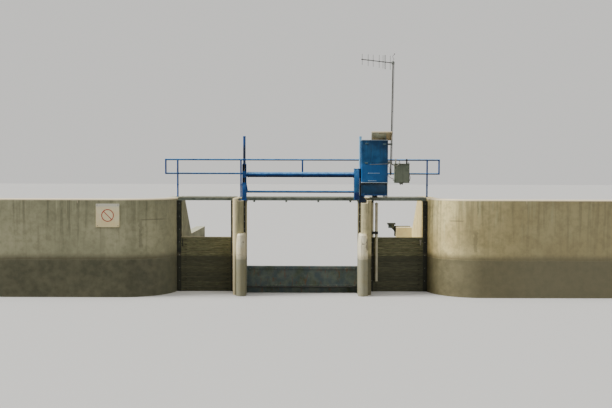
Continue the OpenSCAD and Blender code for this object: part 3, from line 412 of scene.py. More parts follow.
@effect("below", "band", level=waterLevel, soft=0.02, ragged=0.08, band=0.15)
def waterStain(at, level, soft, ragged, band):
    # Height against a ragged water level: below is the wetted part, band the stain just above it.
    height = axes(at)[2] + (noise(at, 2.6, 6.0, 0.6) - 0.5) * ragged - level
    below = remap(height, soft, soft * -1.0)
    return below, remap(height, band, 0.0) * (1.0 - below)


@effect("mask", scale=20.0, start=0.35)
def dustAndTopLight(at, scale, start):
    # Faces that look up, from the slope start on, thinned by noise: a mask for dust, and for painted light on
    # the tops of painted steel.
    return [remap(axes(normal(at))[2] - start, 0.0, 0.5) * remap(noise(at, scale), 0.25, 0.65, 0.45, 1.0)]


@effect("height", "pits", holes=30.0, grain=60.0)
def castSurface(at, holes, grain):
    # Cast surface: sandy grain on a slow swell, with small air holes in some places.
    pits = remap(cells(at, holes, 0), 0.16, 0.05) * remap(noise(at, 3.2, 3.0), 0.48, 0.62)
    height = noise(at, grain, 8.0, 0.7) * 0.25 + noise(at, 1.6, 3.0) * 0.6
    return height - pits * 0.5, pits


@effect("mask", centre=(0, 0, 1), half=(0.1, 1, 0.1), wander=0.1)
def wallMark(at, centre, half, wander):
    # A dark mark: full inside half of centre both across and up, with a ragged rim.
    offset, size = axes(vectorMaths("SUBTRACT", at, centre)), axes(half)
    sway = (noise(at, 9.0, 4.0) - 0.5) * wander
    across = remap(abs(offset[0] + sway) / size[0], 1.0, 0.6)
    return [across * remap(abs(offset[2] + sway * 0.3) / size[2], 1.0, 0.7)]


print("effects ready")


def rgb(red, green, blue):
    # A colour given as it looks on the screen, 0 to 255, as the linear value that the shader wants.
    c = np.array([red, green, blue]) / 255
    c = np.where(c <= 0.04045, c / 12.92, ((c + 0.055) / 1.055) ** 2.4)
    return (*(float(v) for v in c), 1.0)


def tinted(tone, factor, plus=0):
    return [min(255, v * factor + plus) for v in tone]


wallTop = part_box("left_wing_wall")[1].z

# Marks on the walls as (centre, half size, how far the line wanders, strength): cracks are tall and thin.
wallMarks = {
    "wallConcrete": [((-4.30, 0, 1.66), (0.05, 1, 0.42), 0.14, 0.3),
                     ((-4.02, 0, 2.06), (0.36, 1, 0.022), 0.02, 0.36)],
    "sunlitRightConcrete": [((4.66, 0, 2.42), (0.022, 1, 0.24), 0.06, 0.4),
                      ((4.60, 0, 1.50), (0.06, 1, 0.34), 0.14, 0.4),
                      ((4.14, 0, 2.04), (0.20, 1, 0.022), 0.02, 0.4)]}

# Tones that come in along an axis: each row is a tone and its (axis, start, end, share) ramps, which add up.
shades = {
    "wallConcrete": [((108, 110, 94), ("x", -4.10, -3.60, 0.4))],  # painted shade: greyer where it curves to the bay
    "sunlitRightConcrete": [((128, 122, 94), ("x", 3.85, 4.55, 0.46)),  # painted light: brightest where it curves to the bay, painted shade further out
                      ((126, 122, 98), ("x", 4.60, 6.60, 0.36))],
    "leftPierLitAndShadedConcrete": [((248, 228, 178), ("x", -1.79, -1.85, 0.7)),  # painted light: a cream outer edge, and painted shade: the rest grey-green
                         ((118, 122, 98), ("x", -1.80, -1.74, 0.45))],
    "hoodPaint": [((24, 104, 174), ("z", 3.60, 3.55, 0.55)),  # the lower panel is a purer blue
                  # Painted shade: the hood darker towards the top and towards the right.
                  ((6, 26, 40), ("z", 3.75, 4.16, 0.34), ("x", 2.02, 2.33, 0.34)),
                  ((206, 216, 214), ("z", 4.206, 4.212, 0.8), ("z", 3.070, 3.064, 0.8))],  # painted highlights along the lid and the lip
    # Painted shade on the base box: near black under the hood, lighter blue towards the bottom.
    "basePaint": [((8, 60, 112), ("z", 2.78, 2.72, 1.0)), ((6, 14, 20), ("z", 2.96, 3.02, 1.0))],
    "coverPaint": [((12, 84, 160), ("z", 3.95, 4.20, 0.8))],
    "boxEnamel": [((34, 36, 32), ("x", 3.050, 3.066, 0.85))],  # painted shade down the right edge
    "strutCoat": [((30, 31, 29), ("x", 2.85, 2.87, 1.0))],  # the right strut is black, the left one bare
    # Painted reflection on the sign: cool grey at the top, warmer yellow low down.
    "signSheet": [((214, 216, 212), ("z", 2.36, 2.46, 0.6)), ((252, 226, 150), ("z", 2.12, 1.95, 0.4))]}


class coat:
    # A material in the making: a base of two tones, layers over it, and the shader's links at the end.
    def __init__(self, name, roughness, metallic=0.0):
        self.name = name
        material = bpy.data.materials.new(name)
        material.use_nodes = True
        self.shader = material.node_tree.nodes["Principled BSDF"]
        self.shader.inputs["Roughness"].default_value = roughness
        self.shader.inputs["Metallic"].default_value = metallic
        self.at = given(put(material.node_tree, "ShaderNodeTexCoord").outputs["Object"])
        self.place = axes(self.at)

    def base(self, mask, first, second):
        self.colour = blend(mask, rgb(*first), rgb(*second))

    def layer(self, mask, tone, share=1.0):
        self.colour = blend(mask * share, self.colour, tone if isinstance(tone, given) else rgb(*tone))

    def shade(self):
        for tone, *ramps in shades.get(self.name, []):
            masks = [remap(self.place["xyz".index(axis)], start, end) * share
                     for axis, start, end, share in ramps]
            self.layer(masks[0] if len(masks) == 1 else masks[0] + masks[1], tone)

    def finish(self, roughness, height=None, strength=0.4, distance=0.004):
        links = self.at.tree.links
        links.new(self.colour.socket, self.shader.inputs["Base Color"])
        links.new(roughness.socket, self.shader.inputs["Roughness"])
        if height:
            bump = put(self.at.tree, "ShaderNodeBump",
                       {"Strength": strength, "Distance": distance, "Height": height})
            links.new(bump.outputs[0], self.shader.inputs["Normal"])


def concrete(name, tones, streaks=9.0, top=wallTop, low=0.5, rimLightFrom=0.0):
    # Cast concrete: three tones in patches, dark and pale runs, a water band, air holes, painted light and
    # shade from the shades table, and a pale rim of painted highlight on the top edges.
    look = coat(name, 0.88)
    at, (_, _, z) = look.at, look.place
    pale, middle, dark = tones
    look.base(softPatches(at, scale=0.9, low=0.36, high=0.66), middle, pale)
    look.layer(softPatches(at, scale=6.5, rough=0.68, low=0.38, high=0.7), dark, 0.45)
    runs = runStreaks(at, scale=streaks, top=top, length=2.4, low=low, high=low + 0.17)
    look.layer(runs, tinted(dark, 0.66), 0.42)
    washed = runStreaks(at, scale=streaks * 1.7, top=top, length=1.7, low=0.56, high=0.68)
    look.layer(washed, tinted(pale, 1.16), 0.4)
    for centre, half, wander, strength in wallMarks.get(name, []):
        look.layer(wallMark(at, centre=centre, half=half, wander=wander), (62, 58, 46), strength)
    below, band = waterStain(at, soft=0.015, ragged=0.07, band=0.2)
    look.layer(band, (82, 74, 54), 0.75)
    slime = softPatches(at, scale=5.0, low=0.3, high=0.7)
    look.layer(below, blend(slime, rgb(58, 60, 42), rgb(92, 88, 66)), 0.82)
    height, pits = castSurface(at, holes=26.0, grain=70.0)
    look.layer(pits, (60, 55, 44), 0.5)
    look.shade()
    # Painted highlight: a pale cream rim along the edges from the given height up, and over the whole top
    # above it.
    rim = edgeWearAndRimLight(at, radius=0.03, scale=7.0, low=0.2, high=0.5)[0] * remap(z, rimLightFrom - 0.06, rimLightFrom)
    if rimLightFrom:
        rim = maths("MAXIMUM", rim, remap(z, rimLightFrom + 0.034, rimLightFrom + 0.046))
    look.layer(rim, (255, 238, 200), 0.85)
    look.finish(remap(below, 0.0, 1.0, 0.9, 0.62), height, 0.55, 0.012)


def whiteFacing():
    # White facing of the noses: chalky white, yellowed runs, painted shade on the left nose's right half,
    # grey scuffs, bare patches where it came off.
    look = coat("whiteFacing", 0.7)
    at, (x, _, z) = look.at, look.place
    look.base(softPatches(at, scale=4.0, low=0.35, high=0.7), (255, 246, 214), (252, 236, 190))
    look.layer(runStreaks(at, scale=22.0, top=1.66, length=1.6, low=0.5, high=0.66), (158, 148, 120), 0.6)
    # Painted shade: the right half of the left nose is painted darker.
    look.layer(remap(x, -1.69, -1.58) * remap(x, -1.0, -1.2), (136, 126, 100), 0.45)
    across = x + (noise(at, 14.0) - 0.5) * 0.10
    spall = remap(across, 1.715, 1.725) * remap(z, 1.58, 1.52) * remap(z, 1.20, 1.27)
    chips = maths("MAXIMUM", softPatches(at, scale=11.0, rough=0.7, low=0.6, high=0.66), spall)
    look.layer(chips, (128, 120, 98), 0.8)
    below, band = waterStain(at, soft=0.02, ragged=0.08, band=0.16)
    look.layer(band, (140, 130, 100), 0.5)
    look.layer(below, (112, 112, 84), 0.75)
    look.finish(remap(chips, 0.0, 1.0, 0.6, 0.9), castSurface(at, holes=40.0, grain=90.0)[0], 0.4, 0.008)


def paintedSteel(name, colour, faded, rust=0.3, streaks=0.4, roughness=0.38):
    # Enamel: faded patches, dirty runs, chipped rusty edges, painted light on the tops, painted shade on the
    # undersides, brush marks.
    look = coat(name, roughness)
    at = look.at
    fade = softPatches(at, scale=3.0, low=0.35, high=0.72)
    look.base(fade, colour, faded)
    runs = runStreaks(at, scale=26.0, top=4.2, length=2.2, low=0.48, high=0.68)
    look.layer(runs, tinted(colour, 0.5), streaks)
    pale = runStreaks(at, scale=34.0, top=4.2, length=2.2, low=0.58, high=0.7)
    look.layer(pale, tinted(faded, 1.5, 20), streaks * 0.7)
    look.shade()
    # Painted light: faces that look up are painted a pale sky blue.
    look.layer(dustAndTopLight(at, scale=14.0, start=0.05), (116, 184, 232), 0.7)
    # Painted shade: faces that look down are painted dark navy.
    look.layer(remap(axes(normal(at))[2], -0.05, -0.55), (4, 14, 34), 0.75)
    worn, edge = edgeWearAndRimLight(at, radius=0.006, scale=34.0, low=0.5, high=0.6)
    look.layer(edge, tinted(faded, 1.35, 26), 0.22)
    look.layer(worn, (104, 66, 40), rust)
    look.layer(softPatches(at, scale=46.0, rough=0.6, low=0.68, high=0.72), (96, 62, 42), rust)
    look.finish(remap(fade, 0.0, 1.0, roughness - 0.06, roughness + 0.16), noise(at, 120.0, 3.0), 0.12, 0.001)


def zincSteel(name, tone, dark, roughness=0.55, metallic=0.55, highlightFrom=None):
    # Dull zinc: crystal-like flakes, grey bloom, grime in patches, and a painted highlight above a given
    # height.
    look = coat(name, roughness, metallic)
    at, (_, _, z) = look.at, look.place
    flakes = axes(cells(at, 95.0, "Color"))[0]
    look.base(flakes * 0.4, tone, tinted(tone, 1.2))
    bloom = softPatches(at, scale=7.0, low=0.35, high=0.7)
    look.layer(bloom, dark, 0.7)
    look.layer(softPatches(at, scale=22.0, rough=0.7, low=0.64, high=0.72), (112, 84, 58), 0.5)
    # Painted highlight: a pale band along the top edge from the given height up.
    if highlightFrom:
        look.layer(remap(z, highlightFrom, highlightFrom + 0.008), (226, 226, 206), 0.75)
    look.finish(remap(bloom, 0.0, 1.0, roughness - 0.12, roughness + 0.12), flakes, 0.08, 0.001)


def guideCoat():
    # Black-coated steel of the guides: matt, slimy under the water, dry lime above it.
    look = coat("guideCoat", 0.55)
    at = look.at
    patch = softPatches(at, scale=8.0, low=0.4, high=0.7)
    look.base(patch, (34, 38, 30), (60, 64, 50))
    look.layer(runStreaks(at, scale=30.0, top=2.6, length=2.6, low=0.56, high=0.68), (128, 120, 92), 0.5)
    below, band = waterStain(at, soft=0.02, ragged=0.05, band=0.12)
    look.layer(band, (112, 104, 78), 0.6)
    look.layer(below, (44, 46, 30), 0.7)
    look.layer(edgeWearAndRimLight(at, radius=0.004, scale=40.0, low=0.45, high=0.6)[0], (126, 82, 50), 0.5)
    look.finish(remap(patch, 0.0, 1.0, 0.45, 0.7), patch, 0.2, 0.002)


def gatePlate():
    # Gate steel below the crest: grey-blue coat with rust weeping from the edges and green growth.
    look = coat("gatePlate", 0.5)
    at = look.at
    look.base(softPatches(at, scale=5.0, low=0.35, high=0.7), (74, 88, 88), (104, 112, 100))
    rust = softPatches(at, stretch=(1, 1, 0.25), scale=16.0, rough=0.7, low=0.55, high=0.68)
    look.layer(rust, (118, 76, 44), 0.8)
    green = softPatches(at, scale=2.4, rough=0.7, low=0.45, high=0.7)
    look.layer(green, (66, 78, 44), 0.6)
    look.layer(edgeWearAndRimLight(at, radius=0.005, scale=26.0, low=0.4, high=0.55)[0], (150, 138, 116))
    look.finish(remap(green, 0.0, 1.0, 0.42, 0.75), rust, 0.25, 0.003)


def greasedSteel():
    # Turned screw steel under old grease: dark in the roots, bright on the crests.
    look = coat("greasedSteel", 0.38, 0.7)
    at = look.at
    patch = softPatches(at, stretch=(1, 1, 0.4), scale=12.0, low=0.4, high=0.65)
    look.base(patch, (150, 146, 136), (84, 76, 62))
    look.layer(edgeWearAndRimLight(at, radius=0.002, scale=60.0, low=0.3, high=0.5)[0], (168, 164, 154), 0.8)
    look.finish(remap(patch, 0.0, 1.0, 0.3, 0.6))


def wetTimber():
    # Weathered boards: long grain along X, dark cracks, paler faces that look up, slime lower down.
    look = coat("wetTimber", 0.8)
    at, (_, _, z) = look.at, look.place
    grain = noise(vectorMaths("MULTIPLY", at, (0.8, 9.0, 9.0)), 5.0, 9.0, 0.68, 0.6)
    toned = put(at.tree, "ShaderNodeValToRGB", {0: grain})
    ends = toned.color_ramp.elements
    ends[0].position, ends[0].color = 0.3, rgb(60, 60, 42)
    ends[1].position, ends[1].color = 0.72, rgb(178, 176, 134)
    ends.new(0.5).color = rgb(115, 115, 83)
    look.colour = given(toned.outputs[0])
    row = maths("FLOOR", z / 0.1373)  # one number for each board, so that each gets its own depth of tone
    look.layer(given(put(at.tree, "ShaderNodeTexWhiteNoise", {"W": row}, noise_dimensions="1D").outputs[0]),
               (58, 60, 44), 0.4)
    look.layer(dustAndTopLight(at, scale=9.0), (186, 172, 138), 0.75)
    below = waterStain(at, soft=0.02, ragged=0.04, band=0.1)[0]
    look.layer(below, (44, 46, 30), 0.6)
    look.finish(remap(below, 0.0, 1.0, 0.85, 0.55), grain - remap(grain, 0.36, 0.3), 0.6, 0.006)


def plainCoat(name, colour, second, roughness, grime):
    # Even coat or moulded plastic: slight clouding, dust on top, grime runs and rubbed edges.
    look = coat(name, roughness)
    at = look.at
    clouds = softPatches(at, scale=6.0, low=0.35, high=0.7)
    look.base(clouds, colour, second)
    runs = runStreaks(at, scale=30.0, top=4.3, length=4.0, low=0.52, high=0.7)
    look.layer(runs, tinted(colour, 0.55), grime)
    look.layer(dustAndTopLight(at, scale=14.0), (168, 164, 148), 0.35)
    worn = edgeWearAndRimLight(at, radius=0.004, scale=40.0, low=0.45, high=0.6)[0]
    look.layer(worn, tinted(second, 1.3, 20), 0.4)
    look.shade()
    look.finish(remap(clouds, 0.0, 1.0, roughness - 0.08, roughness + 0.1), noise(at, 160.0, 4.0), 0.1, 0.001)


pierTones = (220, 205, 158), (188, 178, 136), (134, 130, 100)
# The right walls, the right abutment and the cross block are painted brighter and warmer than the left walls
# and abutment: lit and shaded copies of one concrete, as painted light.
concrete("wallConcrete", ((182, 178, 143), (158, 156, 124), (122, 120, 93)), rimLightFrom=2.54)
concrete("sunlitRightConcrete", ((255, 236, 170), (232, 210, 146), (156, 140, 94)), low=0.46, rimLightFrom=2.54)
concrete("innerConcrete", ((208, 206, 176), (186, 186, 156), (142, 142, 116)))
concrete("sunlitAbutmentConcrete", ((255, 234, 164), (250, 222, 148), (180, 154, 102)), low=0.54)
concrete("pierConcrete", pierTones, streaks=14.0)
concrete("leftPierLitAndShadedConcrete", pierTones, streaks=14.0)
concrete("sunlitBlockConcrete", ((255, 244, 196), (255, 238, 182), (232, 208, 150)), top=1.6, low=0.6)
for build in (whiteFacing, guideCoat, gatePlate, greasedSteel, wetTimber):
    build()
zincSteel("zinc", (150, 153, 146), (104, 108, 102))
zincSteel("zincDeck", (150, 158, 147), (110, 119, 109), metallic=0.35, highlightFrom=2.612)
zincSteel("zincBright", (196, 198, 188), (156, 158, 150), 0.42)
zincSteel("mastZinc", (98, 96, 88), (70, 70, 65))
zincSteel("antennaAlloy", (104, 104, 102), (76, 78, 78), 0.45, 0.7)
paintedSteel("bluePaint", (4, 56, 120), (16, 88, 160), streaks=0.25)
paintedSteel("hoodPaint", (12, 68, 112), (30, 98, 148), 0.2, 0.5)
paintedSteel("basePaint", (10, 54, 84), (16, 68, 104), 0.2, 0.5, 0.45)
paintedSteel("casePaint", (42, 110, 170), (84, 148, 200), 0.25)
paintedSteel("shadowFootPaint", (4, 34, 92), (8, 50, 118), 0.25)
paintedSteel("coverPaint", (8, 28, 56), (14, 44, 84), 0.25)
# The right stem cover is painted pale blue where the left one is navy: a lit copy of the cover's paint, as
# painted light.
paintedSteel("litCoverPaint", (120, 180, 220), (160, 206, 232), 0.2)

plainCoats = {  # two tones, roughness, share of the grime runs
    "panelBack": ((216, 192, 146), (188, 166, 126), 0.5, 0.4),
    "boxEnamel": ((118, 125, 107), (104, 112, 95), 0.5, 0.35),
    "strutCoat": ((182, 180, 168), (164, 162, 150), 0.5, 0.3),
    "oldFitting": ((84, 112, 116), (60, 90, 104), 0.5, 0.5),
    "gripPaint": ((140, 172, 194), (116, 150, 178), 0.4, 0.3),
    "signSheet": ((255, 244, 200), (255, 236, 186), 0.45, 0.12),
    "signRed": ((192, 14, 4), (176, 20, 10), 0.45, 0.2),
    "pipePlastic": ((214, 208, 180), (190, 184, 158), 0.5, 0.45),
    "blackFitting": ((26, 26, 24), (40, 40, 36), 0.55, 0.2),
    "sensorCase": ((66, 74, 66), (54, 62, 56), 0.5, 0.3),
    "cableSheath": ((22, 22, 22), (34, 34, 32), 0.6, 0.1),
    "conduitGrey": ((132, 134, 122), (108, 110, 100), 0.55, 0.3),
    "paleWood": ((176, 170, 150), (148, 142, 126), 0.7, 0.4),
    "cellGlass": ((16, 24, 52), (22, 34, 70), 0.18, 0.1)}
for name, settings in plainCoats.items():
    plainCoat(name, *settings)

finishes = {
    "concrete": "wallConcrete", "nose_white": "whiteFacing", "guide_steel": "guideCoat",
    "gate_steel": "gatePlate", "stem_steel": "greasedSteel", "log_timber": "wetTimber",
    "galvanised": "zinc", "blue_paint": "bluePaint", "deep_blue_paint": "hoodPaint",
    "case_paint": "casePaint", "cover_paint": "coverPaint", "panel_frame": "panelBack",
    "mast_steel": "mastZinc", "antenna_alloy": "antennaAlloy", "box_paint": "boxEnamel",
    "sign_white": "signSheet", "pipe_plastic": "pipePlastic", "dark_fitting": "blackFitting",
    "sensor_case": "sensorCase", "conduit_grey": "conduitGrey", "cable_black": "cableSheath"}
special = {
    "left_pier": "leftPierLitAndShadedConcrete", "right_pier": "pierConcrete", "cross_block": "sunlitBlockConcrete",
    "right_wing_wall": "sunlitRightConcrete", "right_curved_wall": "sunlitRightConcrete",
    "right_abutment": "sunlitAbutmentConcrete", "left_abutment": "innerConcrete", "drive_base": "basePaint",
    "left_lift": "bluePaint", "right_stem_cover": "litCoverPaint", "box_struts": "strutCoat"}
for side in ("left", "centre", "right"):
    special.update({side + "_deck_frame": "zincDeck", side + "_grating": "zincDeck"})
for part in frame["record"]["subparts"]:
    mesh = nodes[part["node"]].data
    mesh.materials.clear()
    mesh.materials.append(bpy.data.materials[special.get(part["node"], finishes[part["material_slot"]])])
print("materials ready:", len(bpy.data.materials))


def middle(name):
    low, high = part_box(name)
    return (low + high) / 2


gateY = middle("left_stem").y
stemX = middle("right_stem").x
railY = middle("top_rail").y
postXs = (-3.62, -1.786, 1.786, 3.62)
hoodLow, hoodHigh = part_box("drive_hood")
boxLow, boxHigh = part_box("control_box")
lip = 0.005  # the lids, lips and front panels of the hood, base and end case stand out this far

signMake = {"ringRadius": 0.165, "ringWidth": 0.020, "thick": 0.0015, "barWidth": 0.018, "screwInset": 0.035}
signLow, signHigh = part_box("sign_board")


@piece("signRed")
def signRing():
    # A ring of rectangular section turned about Y, with a flat bar from its top left to its bottom right.
    outer, thick, wide = signMake["ringRadius"], signMake["thick"], signMake["barWidth"] / 2
    inner = outer - signMake["ringWidth"]
    half = inner + 0.003  # the bar ends a little way under the ring
    ring = face(ringRound([(inner, 0), (outer, 0), (outer, thick), (inner, thick)], 72), "front")
    bar = turn(block((-half, half), (-thick, 0), (-wide, wide), 0.0007, 0.0003), "y", 45)
    centre = middle("sign_board")
    return move(join(ring, bar), (centre.x, signLow.y, centre.z))


@piece("zinc")
def signScrews():
    inset = signMake["screwInset"]
    return bolts("front", 0.016, (signLow.x + inset, signHigh.x - inset), signLow.y,
                 (signLow.z + inset, signHigh.z - inset))


print("sign ready")

stemMake = {"depth": 0.0028, "pitch": 0.012, "radius": 0.022, "footTop": 0.86, "nutTop": 0.894,
            "nutAcross": 0.056}


def risingStem(x):
    # Foot block, lock nut, screw and rounded top, all on the stem's axis.
    low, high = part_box("right_stem")
    radius, nut, top = stemMake["radius"], stemMake["nutAcross"] / 2, high.z
    start, end = stemMake["footTop"], stemMake["nutTop"]
    foot = block((-0.024, 0.024), (-0.024, 0.024), (low.z, start))
    lock = lathe([(nut * 0.94, start), (nut, start + 0.003), (nut, end - 0.003), (nut * 0.94, end)], 24, 6)
    rod = threadedRod(radius, stemMake["depth"], stemMake["pitch"], end, top - 0.02)
    tip = lathe([(radius - 0.003, top - 0.02), (radius - 0.003, top - 0.006), (radius - 0.007, top)])
    return move(join(foot, lock, rod, tip), (x, gateY, 0))


for side, x in (("left", -stemX), ("right", stemX)):
    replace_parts(makePiece(side + "StemScrew", risingStem(x), "greasedSteel", "gate"),
                side + "_stem")

leafMake = {"crestBar": (0.650, 0.700), "footBar": (0.185, 0.235), "thick": 0.008, "bolt": 0.022,
            "edge": 1.50}


@piece("gatePlate", "gate")
def leafTrim():
    # Flat bars that clamp the seals along the leaf's crest, foot and sides, with their bolts.
    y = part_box("gate_leaf")[0].y
    crest, foot, half, size = leafMake["crestBar"], leafMake["footBar"], leafMake["edge"], leafMake["bolt"]
    front = y - leafMake["thick"]
    bars = [block((-half, half), (front, y), span) for span in (crest, foot)]
    bars += [block((side * half, side * (half + 0.045)), (front, y), (foot[0], crest[1])) for side in (-1, 1)]
    rows = bolts("front", size, np.linspace(-1.44, 1.44, 13), front, (sum(crest) / 2, sum(foot) / 2))
    sides = bolts("front", size, (-half - 0.022, half + 0.022), front, np.linspace(0.29, 0.6, 4))
    return join(*bars, rows, sides)


@piece("blackFitting", "gate")
def leafSeal():
    # Rubber lip under the foot bar: a strip with a round bulb along its front edge.
    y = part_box("gate_leaf")[0].y
    bulb = tube(spots(np.linspace(-1.54, 1.54, 24), y - 0.010, 0.172), 0.010, 10)
    return join(bulb, block((-1.54, 1.54), (y - 0.006, y), (0.168, 0.186), 0.002, 0.001))


@piece("zinc")
def guideBolts():
    # Anchor bolts down the front bar of each gate guide, and down both flanges of each bay guide.
    gate = bolts("front", 0.018, (-1.588, 1.588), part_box("left_gate_guide")[0].y, np.arange(1.78, 2.5, 0.2))
    xs = (-1.95, -3.435, 1.95, 3.435)
    return join(gate, bolts("front", 0.016, xs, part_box("bay_guides")[0].y, np.arange(0.3, 2.5, 0.36)))


print("gate dressed")

columnMake = {"plateTop": 2.570, "bolt": 0.020, "cover": (2.62, 2.99), "coverThick": 0.003,
              "coverHalf": 0.045}


@piece("bluePaint")
def columnTrim():
    # Access cover on the column's front with its screws, the base plate's anchors and the joint's bolts.
    low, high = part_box("left_column")
    x, y, half, thick = -stemX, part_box("left_head")[0].y, columnMake["coverHalf"], columnMake["coverThick"]
    z0, z1 = columnMake["cover"]
    return join(plate((x - half, x + half), y, (z0, z1), thick),
                bolts("front", 0.008, (x - half + 0.009, x + half - 0.009), y - thick,
                      np.linspace(z0 + 0.012, z1 - 0.012, 5)),
                bolts("up", columnMake["bolt"], low.x + 0.022, (low.y + 0.024, high.y - 0.024),
                      columnMake["plateTop"]),
                bolts("up", 0.010, (x - 0.0535, x + 0.0535), (y + 0.03, y + 0.13), high.z, False))


@piece("bluePaint")
def headTrim():
    # Cover of the left lift with its four screws and grease cup.
    x, y, thick = -stemX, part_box("left_lift")[0].y, 0.004
    cup = lathe([(0.006, 0), (0.006, 0.008), (0.010, 0.010), (0.010, 0.018), (0.004, 0.021)], 12)
    return join(plate((x - 0.036, x + 0.036), y, (3.20, 3.34), thick, 0.0018),
                bolts("front", 0.011, (x - 0.028, x + 0.028), y - thick, (3.212, 3.328)),
                move(face(cup, "front"), (x, y - thick, 3.27)))


@piece("coverPaint")
def coverTrim():
    # A domed cap on each stem cover, and a clamp ring at the foot of the left one.
    cap = lathe([(0.0375, -0.001), (0.0372, 0.002), (0.024, 0.006), (0.004, 0.008)], 24)
    foot = ringRound([(0.0352, 0), (0.0395, 0), (0.0395, 0.030), (0.0352, 0.032)], 32)
    return join(copies(cap, spots((-stemX, stemX), gateY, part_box("left_stem_cover")[1].z)),
                move(foot, (-stemX, gateY, 3.562)))


@piece("bluePaint")
def coverBand():
    # A painted coupling halfway up the left cover, at the top rail's height, with two ears and a bolt.
    ears = [plate((-0.052, -0.036), y, (0.012, 0.038), 0.004, 0.0018) for y in (-0.005, 0.009)]
    pin = bolts("front", 0.009, -0.045, -0.009, 0.025)
    return move(join(sleeve(0.0351, 0.0380, 0.050, 0.003), *ears, pin), (-stemX, gateY, 3.655))


@piece("bluePaint")
def crossTubeTrim():
    # End collars of the guard tube with their bolts, its middle sleeve, and the weld beads of the tie tube.
    (low, high), (tie, tieHigh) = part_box("shaft_guard"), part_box("tie_tube")
    z, r = (low.z + high.z) / 2, (high.z - low.z) / 2
    collar = face(sleeve(r + 0.0002, r + 0.006, 0.024, 0.002, 40), "right")
    weld = face(bead((tieHigh.z - tie.z) / 2), "right")
    return join(copies(collar, spots((low.x + 0.002, -0.012, high.x - 0.030), gateY, z)),
                copies(weld, spots((tie.x + 0.005, tieHigh.x - 0.005), gateY, (tie.z + tieHigh.z) / 2)),
                bolts("down", 0.012, (low.x + 0.014, 0.0, high.x - 0.018), gateY, z - r - 0.006, False))


caseMake = {"inset": 0.010, "thick": 0.003, "split": 2.80, "screw": 0.010}
caseLow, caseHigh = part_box("drive_end_case")


@piece("casePaint")
def caseTrim():
    # Raised front plate of the end case with its screws, screws along the cap, and a plate on the open end.
    low, high, split, thick = caseLow, caseHigh, caseMake["split"], caseMake["thick"]
    x0, x1, y = low.x + 0.005 + caseMake["inset"], high.x - caseMake["inset"], low.y + lip
    span = (split, high.z - 0.030)
    return join(plate((x0, x1), y, span, thick),
                bolts("front", caseMake["screw"], (x0 + 0.010, x1 - 0.010), y - thick,
                      np.linspace(split + 0.012, high.z - 0.042, 6)),
                bolts("up", 0.012, (low.x + 0.02, high.x - 0.02), (low.y + 0.02, gateY, high.y - 0.02),
                      high.z),
                plate((x0, x1), high.y - lip + thick, span, thick))


@piece("shadowFootPaint")
def caseShadowPlate():
    # The plate over the lowest part of the end case, painted darker than the rest as painted shadow.
    low, high, y, split, thick = caseLow, caseHigh, caseLow.y + lip, caseMake["split"], 0.004
    return join(plate((low.x + 0.011, high.x - 0.006), y, (low.z + 0.006, split - 0.004), thick, 0.0018),
                bolts("front", 0.012, (low.x + 0.024, high.x - 0.020), y - thick,
                      (low.z + 0.022, split - 0.022)))


print("column and cross tubes dressed")

hoodMake = {"rivet": 0.009, "handleZ": 3.314, "handle": (1.80, 2.09), "pullZ": 3.107, "pull": (1.80, 2.00),
            "strapTall": 0.016, "strapThick": 0.005,
            "latches": ((1.74, 3.592), (1.755, 4.117), (2.235, 4.100))}


def barHandle(x0, x1, z, radius=0.007, reach=0.030):
    # A round bar bent square at both ends: two quarter circles join the legs to the grip.
    y, bend, about = hoodLow.y, 2.2 * radius, np.linspace(0, np.pi / 2, 6)
    left = np.column_stack([x0 + bend * (1 - np.sin(about)), y - reach + bend * (1 - np.cos(about)),
                            np.full(6, z)])
    right = left * (-1, 1, 1) + (x0 + x1, 0, 0)
    return tube(np.vstack([(x0, y, z), left[::-1], right, (x1, y, z)]), radius)


@piece("hoodPaint")
def hoodRivets():
    # Rivets down both edges of each front panel and along the lid and the lip, as flattened domes.
    r = hoodMake["rivet"] / 2
    dome = lathe([(r, 0), (r * 0.8, 0.0018), (0.0008, 0.0028)], 10)
    along, deep = np.linspace(1.68, 2.26, 7), np.linspace(-2.98, -2.50, 5)
    edges = (hoodLow.z + 0.014, hoodHigh.z - 0.014)
    heights = np.concatenate([np.linspace(3.12, 3.52, 5), np.linspace(3.64, 4.14, 6)])
    rows = [("front", (hoodLow.x + 0.078, hoodHigh.x - 0.078), hoodLow.y, heights),
            ("front", along, hoodLow.y, edges),
            ("right", hoodHigh.x, deep, edges), ("left", hoodLow.x, deep, edges),
            ("back", along, hoodHigh.y, edges),
            ("back", (1.66, 2.28), hoodHigh.y - lip, np.linspace(3.14, 4.12, 9))]
    return join(*(copies(face(dome, facing), spots(*place)) for facing, *place in rows))


@piece("gripPaint")
def hoodGrips():
    # Grip bars and their round feet on the lower panel.
    foot = face(lathe([(0.014, 0), (0.013, 0.004), (0.008, 0.005)], 14), "front")
    return join(barHandle(*hoodMake["handle"], hoodMake["handleZ"]),
                barHandle(*hoodMake["pull"], hoodMake["pullZ"], 0.008, 0.034),
                copies(foot, spots(hoodMake["handle"], hoodLow.y, hoodMake["handleZ"])),
                copies(foot, spots(hoodMake["pull"], hoodLow.y, hoodMake["pullZ"])))


@piece("oldFitting")
def hoodLatches():
    # Draw latches over the joint and the lid: backing plate, curved lever and the hook that it pulls on.
    arc = np.linspace(-1, 1, 9)
    lever = np.column_stack([0.034 * arc, -0.006 - 0.010 * (1 - arc ** 2), 0 * arc])
    latch = join(plate((-0.045, 0.045), 0, (-0.022, 0.022), 0.003),
                 sweep(lever, roundedOutline(0.005, 0.018, 0.002)),
                 block((0.026, 0.040), (-0.010, 0), (-0.012, 0.012)))
    return copies(latch, [(x, hoodLow.y, z) for x, z in hoodMake["latches"]])


